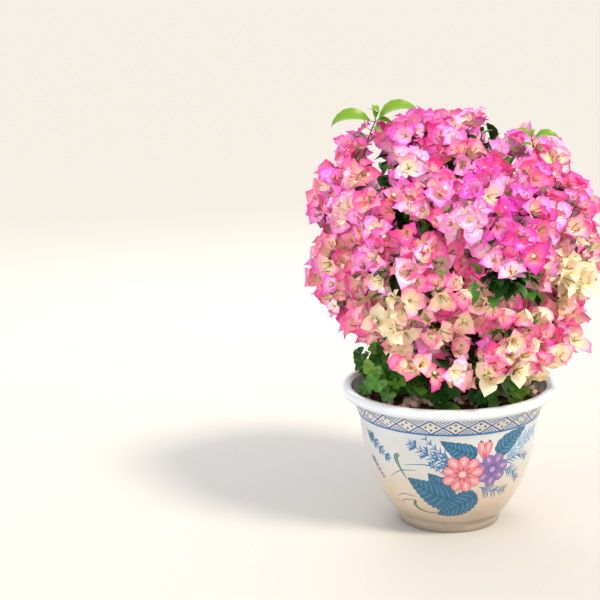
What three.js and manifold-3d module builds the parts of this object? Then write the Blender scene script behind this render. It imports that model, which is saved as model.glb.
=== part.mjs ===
// A bougainvillea bush in a glazed planter: a rounded crown of papery blossoms on twigs,
// carried by boughs from one short trunk that stands in the soil of a wide-rimmed ceramic pot.
// Millimetres, +Z up. The origin is the middle of the pot's flat underside, -Y is the front.
import * as THREE from 'three';
import { mergeVertices } from 'three/addons/utils/BufferGeometryUtils.js';
import Module from 'manifold-3d';

const wasm = await Module();
wasm.setup();

// Clear space between separate pieces that nearly touch.
const GAP = 0.3;
// Clear space between a mass and its neighbours' spaces or a limb.
const MARGIN = 0.6;
// Clear space between foliage and the pot or the soil.
const POT_CLEAR = 3;

// The pot.
const LIP_CENTRE_R = 204;
const LIP_CENTRE_Z = 275;
const LIP_ROLL_R = 11;
const FOOT_R = 103;
const FOOT_H = 19;
const FOOT_ROUND = 4;
const POT_WALL = 10;
const POT_FLOOR_Z = 28;
// The inner corner between wall and floor is cut across by this much.
const CORNER_RISE = 4;
const CORNER_RUN = 8;
const POT_SIDES = 32;
// Radius and height of the outer wall from the foot's waist up to the lip.
const BODY_CURVE = [[101, FOOT_H], [122, 37], [151, 91], [170, 152], [180, 216], [188, 243], [201, 263]];
const BODY_STEPS = 7;
// The lip's roll runs round from under its outer side to its inner side, in degrees from outwards.
const LIP_FROM = -75;
const LIP_TO = 180;
const LIP_STEPS = 5;
const SOIL_EDGE_Z = 252;
const SOIL_TOP_Z = 262;
const SOIL_FLAT_R = 62;
// The soil's top edge has drawn back from the wall.
const SOIL_SHRINK = 3;

// The crown is a ball of foliage above the pot, a little to the right of the pot's axis.
const CROWN = new THREE.Vector3(10, 0, 552);
const CROWN_R = 300;
const MASS_JITTER = 10;
const TURN_JITTER = 7;

// Each ring of masses: latitude on the crown, distance from its middle, how many, the first one's bearing
// from +X and the size of each. The ring's boughs or stems leave the trunk between two heights.
const RINGS = [
  { name: 'top', latitude: 66, out: 192, count: 3, first: -58, radius: 86, trunkZ: [500, 560], bough: true },
  { name: 'upper', latitude: 29, out: 206, count: 6, first: -60, radius: 90, trunkZ: [430, 505], bough: true },
  { name: 'middle', latitude: -5, out: 200, count: 7, first: -64, radius: 90, trunkZ: [350, 425], bough: true },
  { name: 'lower', latitude: -36, out: 192, count: 6, first: -60, radius: 84, trunkZ: [318, 342], bough: false },
];
// The skirt is a ring of sprays that hang down to the rim, by bearing, distance from the pot's axis,
// height, radius and the height at which their stem leaves the trunk.
const SKIRT = [
  { bearing: -104, out: 150, z: 366, radius: 72, trunkZ: 300 },
  { bearing: -58, out: 172, z: 352, radius: 72, trunkZ: 312 },
  { bearing: -12, out: 206, z: 352, radius: 74, trunkZ: 304 },
  { bearing: 38, out: 180, z: 354, radius: 70, trunkZ: 314 },
  { bearing: 88, out: 166, z: 358, radius: 70, trunkZ: 300 },
  { bearing: 136, out: 172, z: 362, radius: 70, trunkZ: 310 },
];
// Low leafy shoots at the foot, in the planter, told in the same way.
const BASAL = [
  { bearing: -134, out: 144, z: 316, radius: 72, trunkZ: 284 },
  { bearing: -108, out: 134, z: 292, radius: 52, trunkZ: 276 },
  { bearing: -176, out: 158, z: 312, radius: 56, trunkZ: 280 },
  { bearing: -40, out: 136, z: 290, radius: 46, trunkZ: 277 },
  { bearing: 84, out: 130, z: 292, radius: 50, trunkZ: 278 },
];
// How steeply the low masses face up or down as they face outwards.
const SKIRT_RISE = -0.3;
const BASAL_RISE = 0.6;
// How hard a low mass pushes its neighbours back, beside its own radius.
const LOW_WEIGHT = 1.12;
// A crown mass fills its share of the crown out to this many times its radius.
const CROWN_REACH = 1.34;

// Trunk: heights and radii, and its lean.
const TRUNK_BASE_R = 19;
const TRUNK_TIP_R = 6.5;
const TRUNK_TIP_Z = 585;
const TRUNK_LEAN = [[4, 8], [13, 4], [6, -3], [10, 0]];
const TAPER_POWER = 0.8;
const FLARE = 0.75;
const FLARE_HEIGHT = 0.14;
const FLARE_LOBES = 5;
const LOBE_DEPTH = 0.35;
const TRUNK_SIDES = 10;
const TRUNK_STEPS = 12;
const BOUGH_BASE_R = 7.5;
const BOUGH_TIP_R = 4.4;
// A bough ends this share of its mass's radius short of the middle.
const BOUGH_END = 0.62;
// Limbs sag outwards at first and then climb: the bend's height as a share of the climb, at least
// this high, and how level they are as they enter their mass.
const LIMB_BEND = 0.34;
const LIMB_RISE = 14;
const LIMB_LEVEL = 0.6;
const LIMB_SIDES = 6;
const BOUGH_STEPS = 4;

// A blossom is a cup of three bracts. The first share of its mass's reach at which it fits is its place.
const BRACTS = 3;
const BLOSSOM_R = 44;
const SIZE_SPREAD = 0.2;
const BLOSSOM_LIFT = 0.36;
const BLOSSOM_THICK = 5;
const SHOULDER_OUT = 0.74;
const SHOULDER_TURN = 34;
const BLOSSOM_TRIES = 130;
const OUTER_SHARE = 0.98;
const INNER_SHARE = 0.25;
const SHARE_STEP = 0.05;
// How much blossoms and leaves turn from their own direction to their mass's outward one.
const OUTWARD = 0.7;
// How far round from its mass's outward direction a blossom may sit, as a cosine.
const BACK_LIMIT = -0.3;

// Leaves: pointed ovals. Crown masses have a few between their blossoms, basal shoots have nothing else.
const LEAF_LENGTH = 46;
const LEAF_SHAPE = 0.62;
const LEAF_THICK = 2.6;
// Along a leaf: where it is widest, how high it arches there and how far its tip droops.
const LEAF_BELLY = 0.42;
const LEAF_ARCH = 0.05;
const LEAF_DROOP = 0.08;
const LEAF_STALK_R = 1.1;
const CROWN_LEAVES = 1;
const BASAL_LEAF_LENGTH = 35;
const BASAL_LEAVES = 12;
const LEAF_TRIES = 70;

// Stems, and twigs, which are three-sided and thin enough for a root to stay inside what it springs from.
const STEM_R = 4.8;
const STEM_TIP_R = 3.4;
// Twigs spring from these shares of a stem's length. A stem that comes from the trunk is bare for longer.
const FIRST_TWIG = 0.5;
const FIRST_TWIG_LONG = 0.75;
const LAST_TWIG = 0.96;
const TWIG_PLACES = 5;
const TWIG_R = 1.9;
const TWIG_TIP_R = 1.4;
const SIDE_TWIG_R = 0.85;
// A blossom springs from another's twig if that one is nearer than this.
const HOST_REACH = 90;
// How squarely a blossom's twig meets its back, as a cosine.
const FACING_LIMIT = 0.4;

// Young shoots that stand out of the top of a mass, by the mass they grow from and the tip.
const SHOOTS = { upper_4: [-137, -42, 828], upper_1: [180, -60, 760] };
const SHOOT_LEAF_LENGTH = 62;
const SHOOT_LEAVES = 5;
const SHOOT_RISE = 0.7;
const SHOOT_STEP = 0.06;
const SHOOT_STALK = 6;
const GOLDEN_TURN = Math.PI * (3 - Math.sqrt(5));

const colours = {
  pot: new THREE.MeshStandardMaterial({ color: 0xeeece6, roughness: 0.18 }),
  soil: new THREE.MeshStandardMaterial({ color: 0x4a2f22, roughness: 0.95 }),
  bark: new THREE.MeshStandardMaterial({ color: 0x6f5540, roughness: 0.85 }),
  blossom: new THREE.MeshStandardMaterial({ color: 0xf2a0bd, roughness: 0.6 }),
  leaf: new THREE.MeshStandardMaterial({ color: 0x3f7a2c, roughness: 0.45 }),
};

const radians = THREE.MathUtils.degToRad;

// A repeatable stream of numbers from 0 to 1.
function stream(seed) {
  let state = seed * 7919 + 13;
  return () => {
    state = (state * 16807) % 2147483647;
    return state / 2147483647;
  };
}

// Closed three.js geometry to a solid: only positions count, and corners that coincide are merged.
function solidOf(geometry) {
  const bare = geometry.index ? geometry.toNonIndexed() : geometry.clone();
  bare.deleteAttribute('normal');
  bare.deleteAttribute('uv');
  const merged = mergeVertices(bare, 1e-3);
  const index = merged.index.array;
  const kept = [];
  for (let i = 0; i < index.length; i += 3) {
    const [a, b, c] = [index[i], index[i + 1], index[i + 2]];
    if (a !== b && b !== c && c !== a) kept.push(a, b, c);
  }
  const solid = new wasm.Manifold(new wasm.Mesh({
    numProp: 3,
    vertProperties: merged.attributes.position.array,
    triVerts: new Uint32Array(kept),
  }));
  return solid;
}

// A solid back to a named three.js mesh.
function meshOf(solid, name, material) {
  const made = solid.getMesh();
  const positions = new Float32Array(made.numVert * 3);
  for (let i = 0; i < made.numVert; i++) {
    positions.set(made.vertProperties.subarray(i * made.numProp, i * made.numProp + 3), i * 3);
  }
  const geometry = new THREE.BufferGeometry();
  geometry.setAttribute('position', new THREE.BufferAttribute(positions, 3));
  geometry.setIndex(new THREE.BufferAttribute(made.triVerts, 1));
  geometry.computeVertexNormals();
  const mesh = new THREE.Mesh(geometry, material);
  mesh.name = name;
  return mesh;
}

// A profile of radius and height, turned about the Z axis.
function turned(profile) {
  const points = profile.map(([radius, height]) => new THREE.Vector2(radius, height));
  return solidOf(new THREE.LatheGeometry(points, POT_SIDES).rotateX(Math.PI / 2));
}

// The body's outer wall, moved inwards by an inset, from its waist to under the lip.
function wallProfile(inset, fromZ, toZ) {
  const curve = new THREE.SplineCurve(BODY_CURVE.map(([r, z]) => new THREE.Vector2(r, z)));
  const steps = curve.getPoints(BODY_STEPS * 3).map(p => [p.x - inset, p.y]);
  return steps.filter(([, z], i) => i % 3 === 0 && z > fromZ && z < toZ);
}

function wallRadius(z) {
  const curve = new THREE.SplineCurve(BODY_CURVE.map(([r, h]) => new THREE.Vector2(r, h)));
  const steps = curve.getPoints(BODY_STEPS * 12);
  const above = steps.findIndex(p => p.y >= z);
  const [low, high] = [steps[above - 1], steps[above]];
  return low.x + (high.x - low.x) * (z - low.y) / (high.y - low.y);
}

const floorRadius = () => wallRadius(POT_FLOOR_Z + CORNER_RISE) - POT_WALL - CORNER_RUN;

function pot() {
  const foot = [[0, 0], [FOOT_R - FOOT_ROUND, 0], [FOOT_R, FOOT_ROUND], [FOOT_R + 1, FOOT_H * 0.55]];
  const lip = [];
  for (let i = 0; i <= LIP_STEPS; i++) {
    const turn = radians(LIP_FROM + i * (LIP_TO - LIP_FROM) / LIP_STEPS);
    lip.push([LIP_CENTRE_R + LIP_ROLL_R * Math.cos(turn), LIP_CENTRE_Z + LIP_ROLL_R * Math.sin(turn)]);
  }
  const inner = wallProfile(POT_WALL, POT_FLOOR_Z + CORNER_RISE, LIP_CENTRE_Z - LIP_ROLL_R - 4).reverse();
  const floor = [[floorRadius(), POT_FLOOR_Z], [0, POT_FLOOR_Z]];
  return turned([...foot, ...wallProfile(0, 0, LIP_CENTRE_Z - LIP_ROLL_R), ...lip, ...inner, ...floor]);
}

// The soil fills the pot up to a little below the lip and is mounded to a flat middle.
function soil() {
  const inset = POT_WALL + GAP * 1.5;
  const side = wallProfile(inset, POT_FLOOR_Z + CORNER_RISE, SOIL_EDGE_Z);
  const bottom = [[0, POT_FLOOR_Z + GAP], [floorRadius() - GAP, POT_FLOOR_Z + GAP]];
  const edgeR = wallRadius(SOIL_EDGE_Z) - inset - SOIL_SHRINK;
  const top = [
    [edgeR, SOIL_EDGE_Z], [(edgeR + SOIL_FLAT_R) / 2, (SOIL_EDGE_Z + SOIL_TOP_Z) / 2],
    [SOIL_FLAT_R, SOIL_TOP_Z], [0, SOIL_TOP_Z],
  ];
  return turned([...bottom, ...side, ...top]);
}

// A cylinder bent along a curve, with a radius for each share of its length.
function bentLimb(curve, radiusAt, sides, steps) {
  const geometry = new THREE.CylinderGeometry(1, 1, 1, sides, steps);
  const frames = curve.computeFrenetFrames(steps);
  const place = geometry.attributes.position;
  for (let i = 0; i < place.count; i++) {
    const share = place.getY(i) + 0.5;
    const step = Math.round(share * steps);
    const turn = Math.atan2(place.getZ(i), place.getX(i));
    const across = Math.hypot(place.getX(i), place.getZ(i)) * radiusAt(share);
    const point = curve.getPointAt(share)
      .addScaledVector(frames.normals[step], Math.cos(turn) * across)
      .addScaledVector(frames.binormals[step], -Math.sin(turn) * across);
    place.setXYZ(i, point.x, point.y, point.z);
  }
  return solidOf(geometry);
}

const trunkCurve = new THREE.CatmullRomCurve3(TRUNK_LEAN.map(([x, y], i) => new THREE.Vector3(
  x, y, SOIL_TOP_Z + GAP + (TRUNK_TIP_Z - SOIL_TOP_Z) * i / (TRUNK_LEAN.length - 1),
)));

// Root flare: the foot swells into a few lobes that die out a little way up.
function trunkRadius(share, turn) {
  const taper = TRUNK_BASE_R + (TRUNK_TIP_R - TRUNK_BASE_R) * share ** TAPER_POWER;
  const flare = FLARE * Math.max(0, 1 - share / FLARE_HEIGHT) ** 2;
  return taper * (1 + flare * (1 + LOBE_DEPTH * Math.cos(FLARE_LOBES * turn)));
}

// The trunk is level rings strung along its leaning curve, so its foot is a flat cut at the soil.
function trunk(widen = 0) {
  const geometry = new THREE.CylinderGeometry(1, 1, 1, TRUNK_SIDES, TRUNK_STEPS).rotateX(Math.PI / 2);
  const at = geometry.attributes.position;
  for (let i = 0; i < at.count; i++) {
    const share = at.getZ(i) + 0.5;
    const turn = Math.atan2(at.getY(i), at.getX(i));
    const out = Math.hypot(at.getX(i), at.getY(i)) * (trunkRadius(share, turn) + widen);
    const middle = trunkCurve.getPointAt(share);
    at.setXYZ(i, middle.x + Math.cos(turn) * out, middle.y + Math.sin(turn) * out, middle.z);
  }
  return solidOf(geometry);
}

function trunkPoint(z) {
  return trunkCurve.getPointAt((z - SOIL_TOP_Z) / (TRUNK_TIP_Z - SOIL_TOP_Z));
}

// A mass of the crown: its middle, size, outward direction and where its bough or stem leaves the trunk.
function crownMass(ring, i, random) {
  const latitude = radians(ring.latitude + TURN_JITTER * (random() - 0.5));
  const turn = radians(ring.first + i * 360 / ring.count + TURN_JITTER * (random() - 0.5));
  const away = new THREE.Vector3(
    Math.cos(latitude) * Math.cos(turn), Math.cos(latitude) * Math.sin(turn), Math.sin(latitude),
  );
  const centre = CROWN.clone().addScaledVector(away, ring.out + MASS_JITTER * (random() - 0.5));
  const [low, high] = ring.trunkZ;
  const trunkZ = low + (high - low) * ((i * 3) % ring.count + 0.5) / ring.count;
  return {
    name: `${ring.name}_${i}`, centre, away, trunkZ, radius: ring.radius, reach: ring.radius * CROWN_REACH,
    bough: ring.bough, crown: true, leaves: CROWN_LEAVES, leafLength: LEAF_LENGTH,
  };
}

// A spray of the skirt or a basal shoot.
function lowMass(kind, place, i, rise) {
  const turn = radians(place.bearing);
  const centre = new THREE.Vector3(Math.cos(turn) * place.out, Math.sin(turn) * place.out, place.z);
  const away = new THREE.Vector3(Math.cos(turn), Math.sin(turn), rise).normalize();
  const radius = place.radius * LOW_WEIGHT;
  return { name: `${kind}_${i}`, centre, away, trunkZ: place.trunkZ, radius, reach: place.radius };
}

const placing = stream(5);
const masses = [
  ...RINGS.flatMap(ring => Array.from({ length: ring.count }, (_, i) => crownMass(ring, i, placing))),
  ...SKIRT.map((place, i) => (
    { ...lowMass('skirt', place, i, SKIRT_RISE), leaves: CROWN_LEAVES, leafLength: LEAF_LENGTH }
  )),
  ...BASAL.map((place, i) => (
    { ...lowMass('basal', place, i, BASAL_RISE), leafy: true, leaves: BASAL_LEAVES, leafLength: BASAL_LEAF_LENGTH }
  )),
];

// A point lies in a mass's own space if it is within its reach and the crown's, on its own side of
// every neighbour, and clear of the pot and the soil.
function inSpace(point, mass) {
  if (point.distanceTo(mass.centre) > mass.reach) return false;
  if (mass.crown && point.distanceTo(CROWN) > CROWN_R) return false;
  const power = point.distanceToSquared(mass.centre) - mass.radius ** 2;
  for (const other of masses) {
    if (other === mass) continue;
    const apart = point.distanceToSquared(other.centre) - other.radius ** 2 - power;
    if (apart < 2 * MARGIN * mass.centre.distanceTo(other.centre)) return false;
  }
  return clearOfPot(point);
}

function clearOfPot(point) {
  const out = Math.hypot(point.x, point.y);
  const overSoil = out < wallRadius(SOIL_EDGE_Z) - POT_WALL - POT_CLEAR && point.z > SOIL_TOP_Z + POT_CLEAR;
  return point.z > LIP_CENTRE_Z + LIP_ROLL_R + POT_CLEAR || overSoil;
}

function clearOf(solid, others) {
  return others.every(other => solid.minGap(other, MARGIN) >= MARGIN);
}

// The limb's way from the trunk to the inner edge of its mass.
function limbCurve(mass, endShare) {
  const start = trunkPoint(mass.trunkZ);
  const inward = start.clone().sub(mass.centre);
  inward.setZ(inward.z * LIMB_LEVEL).normalize();
  const end = mass.centre.clone().addScaledVector(inward, mass.radius * endShare);
  const climb = Math.max(LIMB_RISE, (end.z - start.z) * LIMB_BEND);
  const bend = start.clone().lerp(end, 0.5).setZ(start.z + climb);
  return new THREE.QuadraticBezierCurve3(start, bend, end);
}

const boughRadius = share => BOUGH_BASE_R + (BOUGH_TIP_R - BOUGH_BASE_R) * share;
const stemRadius = share => STEM_R + (STEM_TIP_R - STEM_R) * share;

// Axes with Y along a direction, turned by spin about it.
function axesAlong(direction, spin = 0) {
  const turn = new THREE.Quaternion().setFromUnitVectors(new THREE.Vector3(0, 1, 0), direction);
  return turn.multiply(new THREE.Quaternion().setFromAxisAngle(new THREE.Vector3(0, 1, 0), spin));
}

// A closed form strung along rows: each row is a function from the corner's number and whether it is
// a ring corner (1) or the middle of an end face (0) to a point. Corners that a row shares fall together.
function strung(corners, rows) {
  const steps = rows.length - 1;
  const geometry = new THREE.CylinderGeometry(1, 1, 1, corners, steps);
  const at = geometry.attributes.position;
  for (let i = 0; i < at.count; i++) {
    const row = Math.round((at.getY(i) + 0.5) * steps);
    const ring = Math.hypot(at.getX(i), at.getZ(i)) > 0.5 ? 1 : 0;
    const turns = Math.atan2(at.getX(i), at.getZ(i)) / (2 * Math.PI);
    const corner = (Math.round(turns * corners) + corners) % corners;
    const point = rows[row](corner, ring);
    at.setXYZ(i, point.x, point.y, point.z);
  }
  return geometry;
}

// A row of three corners round a point of a twig, each standing for several corners of the form.
function twigRow(middle, axes, radius, perSide) {
  return (corner, ring) => {
    const turn = Math.round(corner / perSide) % 3 * 2 * Math.PI / 3;
    return new THREE.Vector3(Math.sin(turn), 0, Math.cos(turn))
      .multiplyScalar(radius * ring).applyQuaternion(axes).add(middle);
  };
}

// A cup of three bracts on its twig. The rim is drawn out to three tips with rounded shoulders.
function blossom(root, under, facing, spin, size, twigR) {
  const place = under.clone().addScaledVector(facing, BLOSSOM_THICK);
  const along = axesAlong(under.clone().sub(root).normalize(), spin);
  const axes = axesAlong(facing, spin);
  const rim = (corner, ring) => {
    const side = (corner + 1) % 3 - 1;
    const turn = Math.round((corner - side) / 3) * 2 * Math.PI / BRACTS + radians(side * SHOULDER_TURN);
    const out = size * ring * (side === 0 ? 1 : SHOULDER_OUT);
    const lift = size * ring * BLOSSOM_LIFT * (side === 0 ? 1 : SHOULDER_OUT);
    return new THREE.Vector3(Math.sin(turn) * out, lift, Math.cos(turn) * out).applyQuaternion(axes).add(place);
  };
  return strung(BRACTS * 3, [
    twigRow(root, along, twigR, BRACTS), twigRow(under, along, TWIG_TIP_R, BRACTS), rim,
  ]);
}

// A leaf on its twig: a pointed oval that bends down a little, with its upper side to the light.
function leaf(root, base, way, length, twigR) {
  const side = new THREE.Vector3(way.y, -way.x, 0).normalize();
  const up = side.clone().cross(way);
  const basis = new THREE.Matrix4().makeBasis(side, up, way);
  const along = axesAlong(base.clone().sub(root).normalize());
  const widest = corner => {
    const turn = corner * Math.PI / 2;
    const across = Math.sin(turn) * length * LEAF_SHAPE / 2;
    const over = Math.cos(turn) * LEAF_THICK / 2 + LEAF_ARCH * length;
    return new THREE.Vector3(across, over, LEAF_BELLY * length).applyMatrix4(basis).add(base);
  };
  const tip = () => base.clone().addScaledVector(way, length).addScaledVector(up, -LEAF_DROOP * length);
  const [start, end] = [twigRow(root, along, twigR, 4 / 3), twigRow(base, along, LEAF_STALK_R, 4 / 3)];
  return strung(4, [start, end, widest, tip]);
}

function corners(geometry) {
  const at = geometry.attributes.position;
  return Array.from({ length: at.count }, (_, i) => new THREE.Vector3().fromBufferAttribute(at, i));
}

// Evenly spread directions on a ball.
function spreadDirection(i, count) {
  const height = 1 - 2 * (i + 0.5) / count;
  const turn = i * GOLDEN_TURN;
  const flat = Math.sqrt(1 - height * height);
  return new THREE.Vector3(flat * Math.cos(turn), flat * Math.sin(turn), height);
}

// The stem of a mass runs on from its bough's tip, or from the trunk, to the middle of the mass.
function stemWay(mass) {
  if (!mass.bough) return limbCurve(mass, 0);
  const bough = limbCurve(mass, BOUGH_END);
  const ahead = bough.getTangentAt(1);
  const from = bough.getPointAt(1).addScaledVector(ahead, GAP);
  const turn = from.clone().addScaledVector(ahead, from.distanceTo(mass.centre) / 2);
  return new THREE.QuadraticBezierCurve3(from, turn, mass.centre);
}

// A mass's frame is its stem and, where it has one, its young shoot.
function growFrame(mass, trunkCutter) {
  mass.stemCurve = stemWay(mass);
  const stem = bentLimb(mass.stemCurve, stemRadius, 4, mass.bough ? 2 : BOUGH_STEPS);
  const shoot = SHOOTS[mass.name] ? youngShoot(mass, new THREE.Vector3(...SHOOTS[mass.name])) : [];
  mass.frame = wasm.Manifold.union([mass.bough ? stem : stem.subtract(trunkCutter), ...shoot]);
}

// A point on the last stretch of a mass's stem, for the next twig to spring from.
function stemPoint(mass, i) {
  const first = mass.bough ? FIRST_TWIG : FIRST_TWIG_LONG;
  return mass.stemCurve.getPointAt(first + (LAST_TWIG - first) * (i * 2 % TWIG_PLACES) / (TWIG_PLACES - 1));
}

// Where the next twig springs from: the middle of a near blossom's twig that is still bare, or the stem.
function rootFor(mass, place, grown) {
  const host = grown.find(g => g.bare && g.place.distanceTo(place) < HOST_REACH);
  if (host) return { host, root: host.root.clone().lerp(host.under, 0.5), twigR: SIDE_TWIG_R };
  return { root: stemPoint(mass, grown.length), twigR: TWIG_R };
}

// Finds where one more blossom fits: as far out as it can be, facing outwards, clear of all the rest.
function placeBlossom(mass, way, random, grown, limbs) {
  const spin = random() * 2 * Math.PI;
  const size = BLOSSOM_R * (1 + SIZE_SPREAD * (random() - 0.5));
  const tilt = new THREE.Vector3(random() - 0.5, random() - 0.5, random() - 0.3).multiplyScalar(0.5);
  const facing = way.clone().addScaledVector(mass.away, OUTWARD).add(tilt).normalize();
  if (way.dot(mass.away) < BACK_LIMIT) return null;
  for (let share = OUTER_SHARE; share > INNER_SHARE; share -= SHARE_STEP) {
    const place = mass.centre.clone().addScaledVector(way, mass.reach * share);
    const { host, root, twigR } = rootFor(mass, place, grown);
    const under = place.clone().addScaledVector(facing, -BLOSSOM_THICK);
    const cupOnly = blossom(under.clone().addScaledVector(facing, -1), under, facing, spin, size, 1);
    if (!corners(cupOnly).every(p => inSpace(p, mass))) continue;
    if (place.clone().sub(root).normalize().dot(facing) < FACING_LIMIT) continue;
    const cup = solidOf(cupOnly);
    const solid = solidOf(blossom(root, under, facing, spin, size, twigR));
    if (!clearOf(cup, grown.map(g => g.solid))) continue;
    if (clearOf(solid, [...grown.map(g => g.cup), ...limbs])) return { host, root, under, place, cup, solid };
  }
  return null;
}

function growBlossoms(mass, random, limbs) {
  const grown = [];
  for (let i = 0; i < BLOSSOM_TRIES; i++) {
    const made = placeBlossom(mass, spreadDirection(i, BLOSSOM_TRIES), random, grown, limbs);
    if (!made) continue;
    if (made.host) made.host.bare = false;
    grown.push({ ...made, bare: !made.host });
  }
  return grown;
}

// Leaves on twigs of their own, wherever they fit between the blossoms.
function growLeaves(mass, random, grown, limbs) {
  const leaves = [];
  const taken = [...grown.map(g => g.solid), ...limbs];
  for (let i = 0; i < LEAF_TRIES && leaves.length < mass.leaves; i++) {
    const way = spreadDirection(i * 7 % LEAF_TRIES, LEAF_TRIES);
    const share = 0.3 + 0.5 * random();
    const length = mass.leafLength * (1 + SIZE_SPREAD * (random() - 0.5));
    if (way.dot(mass.away) < BACK_LIMIT) continue;
    const base = mass.centre.clone().addScaledVector(way, mass.reach * share - length * 0.5);
    const blade = way.clone().addScaledVector(mass.away, OUTWARD).normalize();
    const root = stemPoint(mass, grown.length + leaves.length);
    const bladeOnly = leaf(base.clone().addScaledVector(blade, -3), base, blade, length, 1);
    if (!corners(bladeOnly).every(p => inSpace(p, mass))) continue;
    if (!clearOf(solidOf(bladeOnly), [...taken, ...leaves])) continue;
    const solid = solidOf(leaf(root, base, blade, length, TWIG_R));
    if (clearOf(solid, [...grown.map(g => g.cup), ...limbs])) leaves.push(solid);
  }
  return leaves;
}

// A young shoot that stands above its mass, with a fan of long leaves near its tip.
// The first leaf's twig is the shoot itself, and the others spring from it one below another.
function youngShoot(mass, tip) {
  const parts = [];
  for (let i = 0; i < SHOOT_LEAVES; i++) {
    const turn = i * GOLDEN_TURN;
    const rise = SHOOT_RISE * (1 - i / SHOOT_LEAVES);
    const out = new THREE.Vector3(Math.cos(turn), Math.sin(turn), rise).normalize();
    const node = mass.centre.clone().lerp(tip, 1 - SHOOT_STEP * (i + 0.5));
    const stalk = node.clone().addScaledVector(out, SHOOT_STALK);
    const length = SHOOT_LEAF_LENGTH * (1 - SHOOT_STEP * i);
    const blade = i === 0
      ? leaf(mass.centre, tip, out, length, TWIG_R)
      : leaf(node, stalk, out, length, SIDE_TWIG_R);
    parts.push(solidOf(blade));
  }
  return parts;
}

// One mass of foliage: its stem with any young shoot, its blossoms and its leaves, fused.
function growMass(mass, limbs, seed) {
  const random = stream(seed);
  const grown = mass.leafy ? [] : growBlossoms(mass, random, limbs);
  const parts = [mass.frame, ...grown.map(g => g.solid), ...growLeaves(mass, random, grown, limbs)];
  return wasm.Manifold.union(parts);
}

const bush = new THREE.Group();
const potSolid = pot();
const soilSolid = soil();
const trunkSolid = trunk();
const trunkCutter = trunk(GAP);

const boughs = [];
for (const mass of masses.filter(m => m.bough)) {
  const curve = limbCurve(mass, BOUGH_END);
  const solid = bentLimb(curve, boughRadius, LIMB_SIDES, BOUGH_STEPS).subtract(trunkCutter);
  boughs.push({ name: `bough_${mass.name}`, solid });
}

bush.add(meshOf(potSolid, 'pot', colours.pot));
bush.add(meshOf(soilSolid, 'soil', colours.soil));
bush.add(meshOf(trunkSolid, 'trunk', colours.bark));
for (const bough of boughs) bush.add(meshOf(bough.solid, bough.name, colours.bark));

const limbs = [trunkSolid, ...boughs.map(b => b.solid), potSolid, soilSolid];
masses.forEach(mass => growFrame(mass, trunkCutter));
masses.forEach((mass, i) => {
  const frames = masses.filter(other => other !== mass).map(other => other.frame);
  const solid = growMass(mass, [...limbs, ...frames], i + 101);
  bush.add(meshOf(solid, `mass_${mass.name}`, mass.leafy ? colours.leaf : colours.blossom));
});

export default bush;
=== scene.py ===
# %% [markdown]
# # A bougainvillea bush in a painted planter
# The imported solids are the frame: they say where everything stands, and they never move. Each step below
# makes what is seen in the place of some of them. Sizes are told in millimetres, because that is how a
# potter or a gardener would measure them, and MM turns them into Blender's metres when a mesh is made.

# %% Load the frame
import math

import bmesh
import bpy
import numpy as np
from mathutils import Matrix, Vector, noise


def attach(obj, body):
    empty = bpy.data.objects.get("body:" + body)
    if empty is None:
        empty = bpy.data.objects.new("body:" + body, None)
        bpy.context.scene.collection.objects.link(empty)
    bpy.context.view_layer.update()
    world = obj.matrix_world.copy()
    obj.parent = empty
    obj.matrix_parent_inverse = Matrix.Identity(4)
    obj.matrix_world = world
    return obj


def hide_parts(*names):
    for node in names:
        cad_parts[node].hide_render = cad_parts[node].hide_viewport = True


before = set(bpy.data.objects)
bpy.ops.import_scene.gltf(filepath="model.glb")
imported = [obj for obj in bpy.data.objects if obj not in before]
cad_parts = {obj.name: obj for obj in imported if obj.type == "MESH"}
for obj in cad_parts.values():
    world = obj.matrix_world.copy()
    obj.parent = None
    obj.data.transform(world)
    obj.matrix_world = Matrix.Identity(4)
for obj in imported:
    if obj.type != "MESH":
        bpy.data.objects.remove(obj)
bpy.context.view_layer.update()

MM = 0.001

# %% [markdown]
# ## The camera
# A camera looks along its own -Z with +Y up. Turning it about X lifts its view from the floor to the
# horizon, turning it about Z swings it round, and a small turn about its own axis first gives the slight
# roll of a hand-held picture. The long lens stands three metres off, so the pot's rim stays a flat oval.

# %% Place the camera
CAMERA_PLACE = (0.0, -3.0, 1.14)
CAMERA_DOWN = math.radians(12.844)
CAMERA_LEFT = math.radians(5.622)
CAMERA_ROLL = math.radians(-1.483)
CAMERA_LENS = 92.64

bpy.ops.object.camera_add(location=CAMERA_PLACE)
camera = bpy.context.object
swing = Matrix.Rotation(CAMERA_LEFT, 3, "Z")
tip = Matrix.Rotation(math.pi / 2 - CAMERA_DOWN, 3, "X")
camera.rotation_euler = (swing @ tip @ Matrix.Rotation(CAMERA_ROLL, 3, "Z")).to_euler()
camera.data.lens = CAMERA_LENS
bpy.context.scene.camera = camera
print("camera at", CAMERA_PLACE)

# %% [markdown]
# ## Colours and nodes
# Colours are written as sRGB hex, as a paint chart gives them, and shaders count in linear light, so one
# function turns the first into the second. Another adds a node to a material with its settings and links.

# %% Helpers for materials
def linear(hex_colour):
    """An sRGB hex colour as the four linear numbers that a shader reads."""
    shares = [int(hex_colour[i:i + 2], 16) / 255 for i in (1, 3, 5)]
    return (*[s / 12.92 if s <= 0.04045 else ((s + 0.055) / 1.055) ** 2.4 for s in shares], 1.0)


def add_node(tree, kind, settings=(), inputs=(), links=()):
    """A new node, with its settings, the values of its inputs and what is linked into them."""
    node = tree.nodes.new(kind)
    for name, value in dict(settings).items():
        setattr(node, name, value)
    for name, value in dict(inputs).items():
        node.inputs[name].default_value = value
    for name, socket in dict(links).items():
        tree.links.new(socket, node.inputs[name])
    return node


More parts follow.
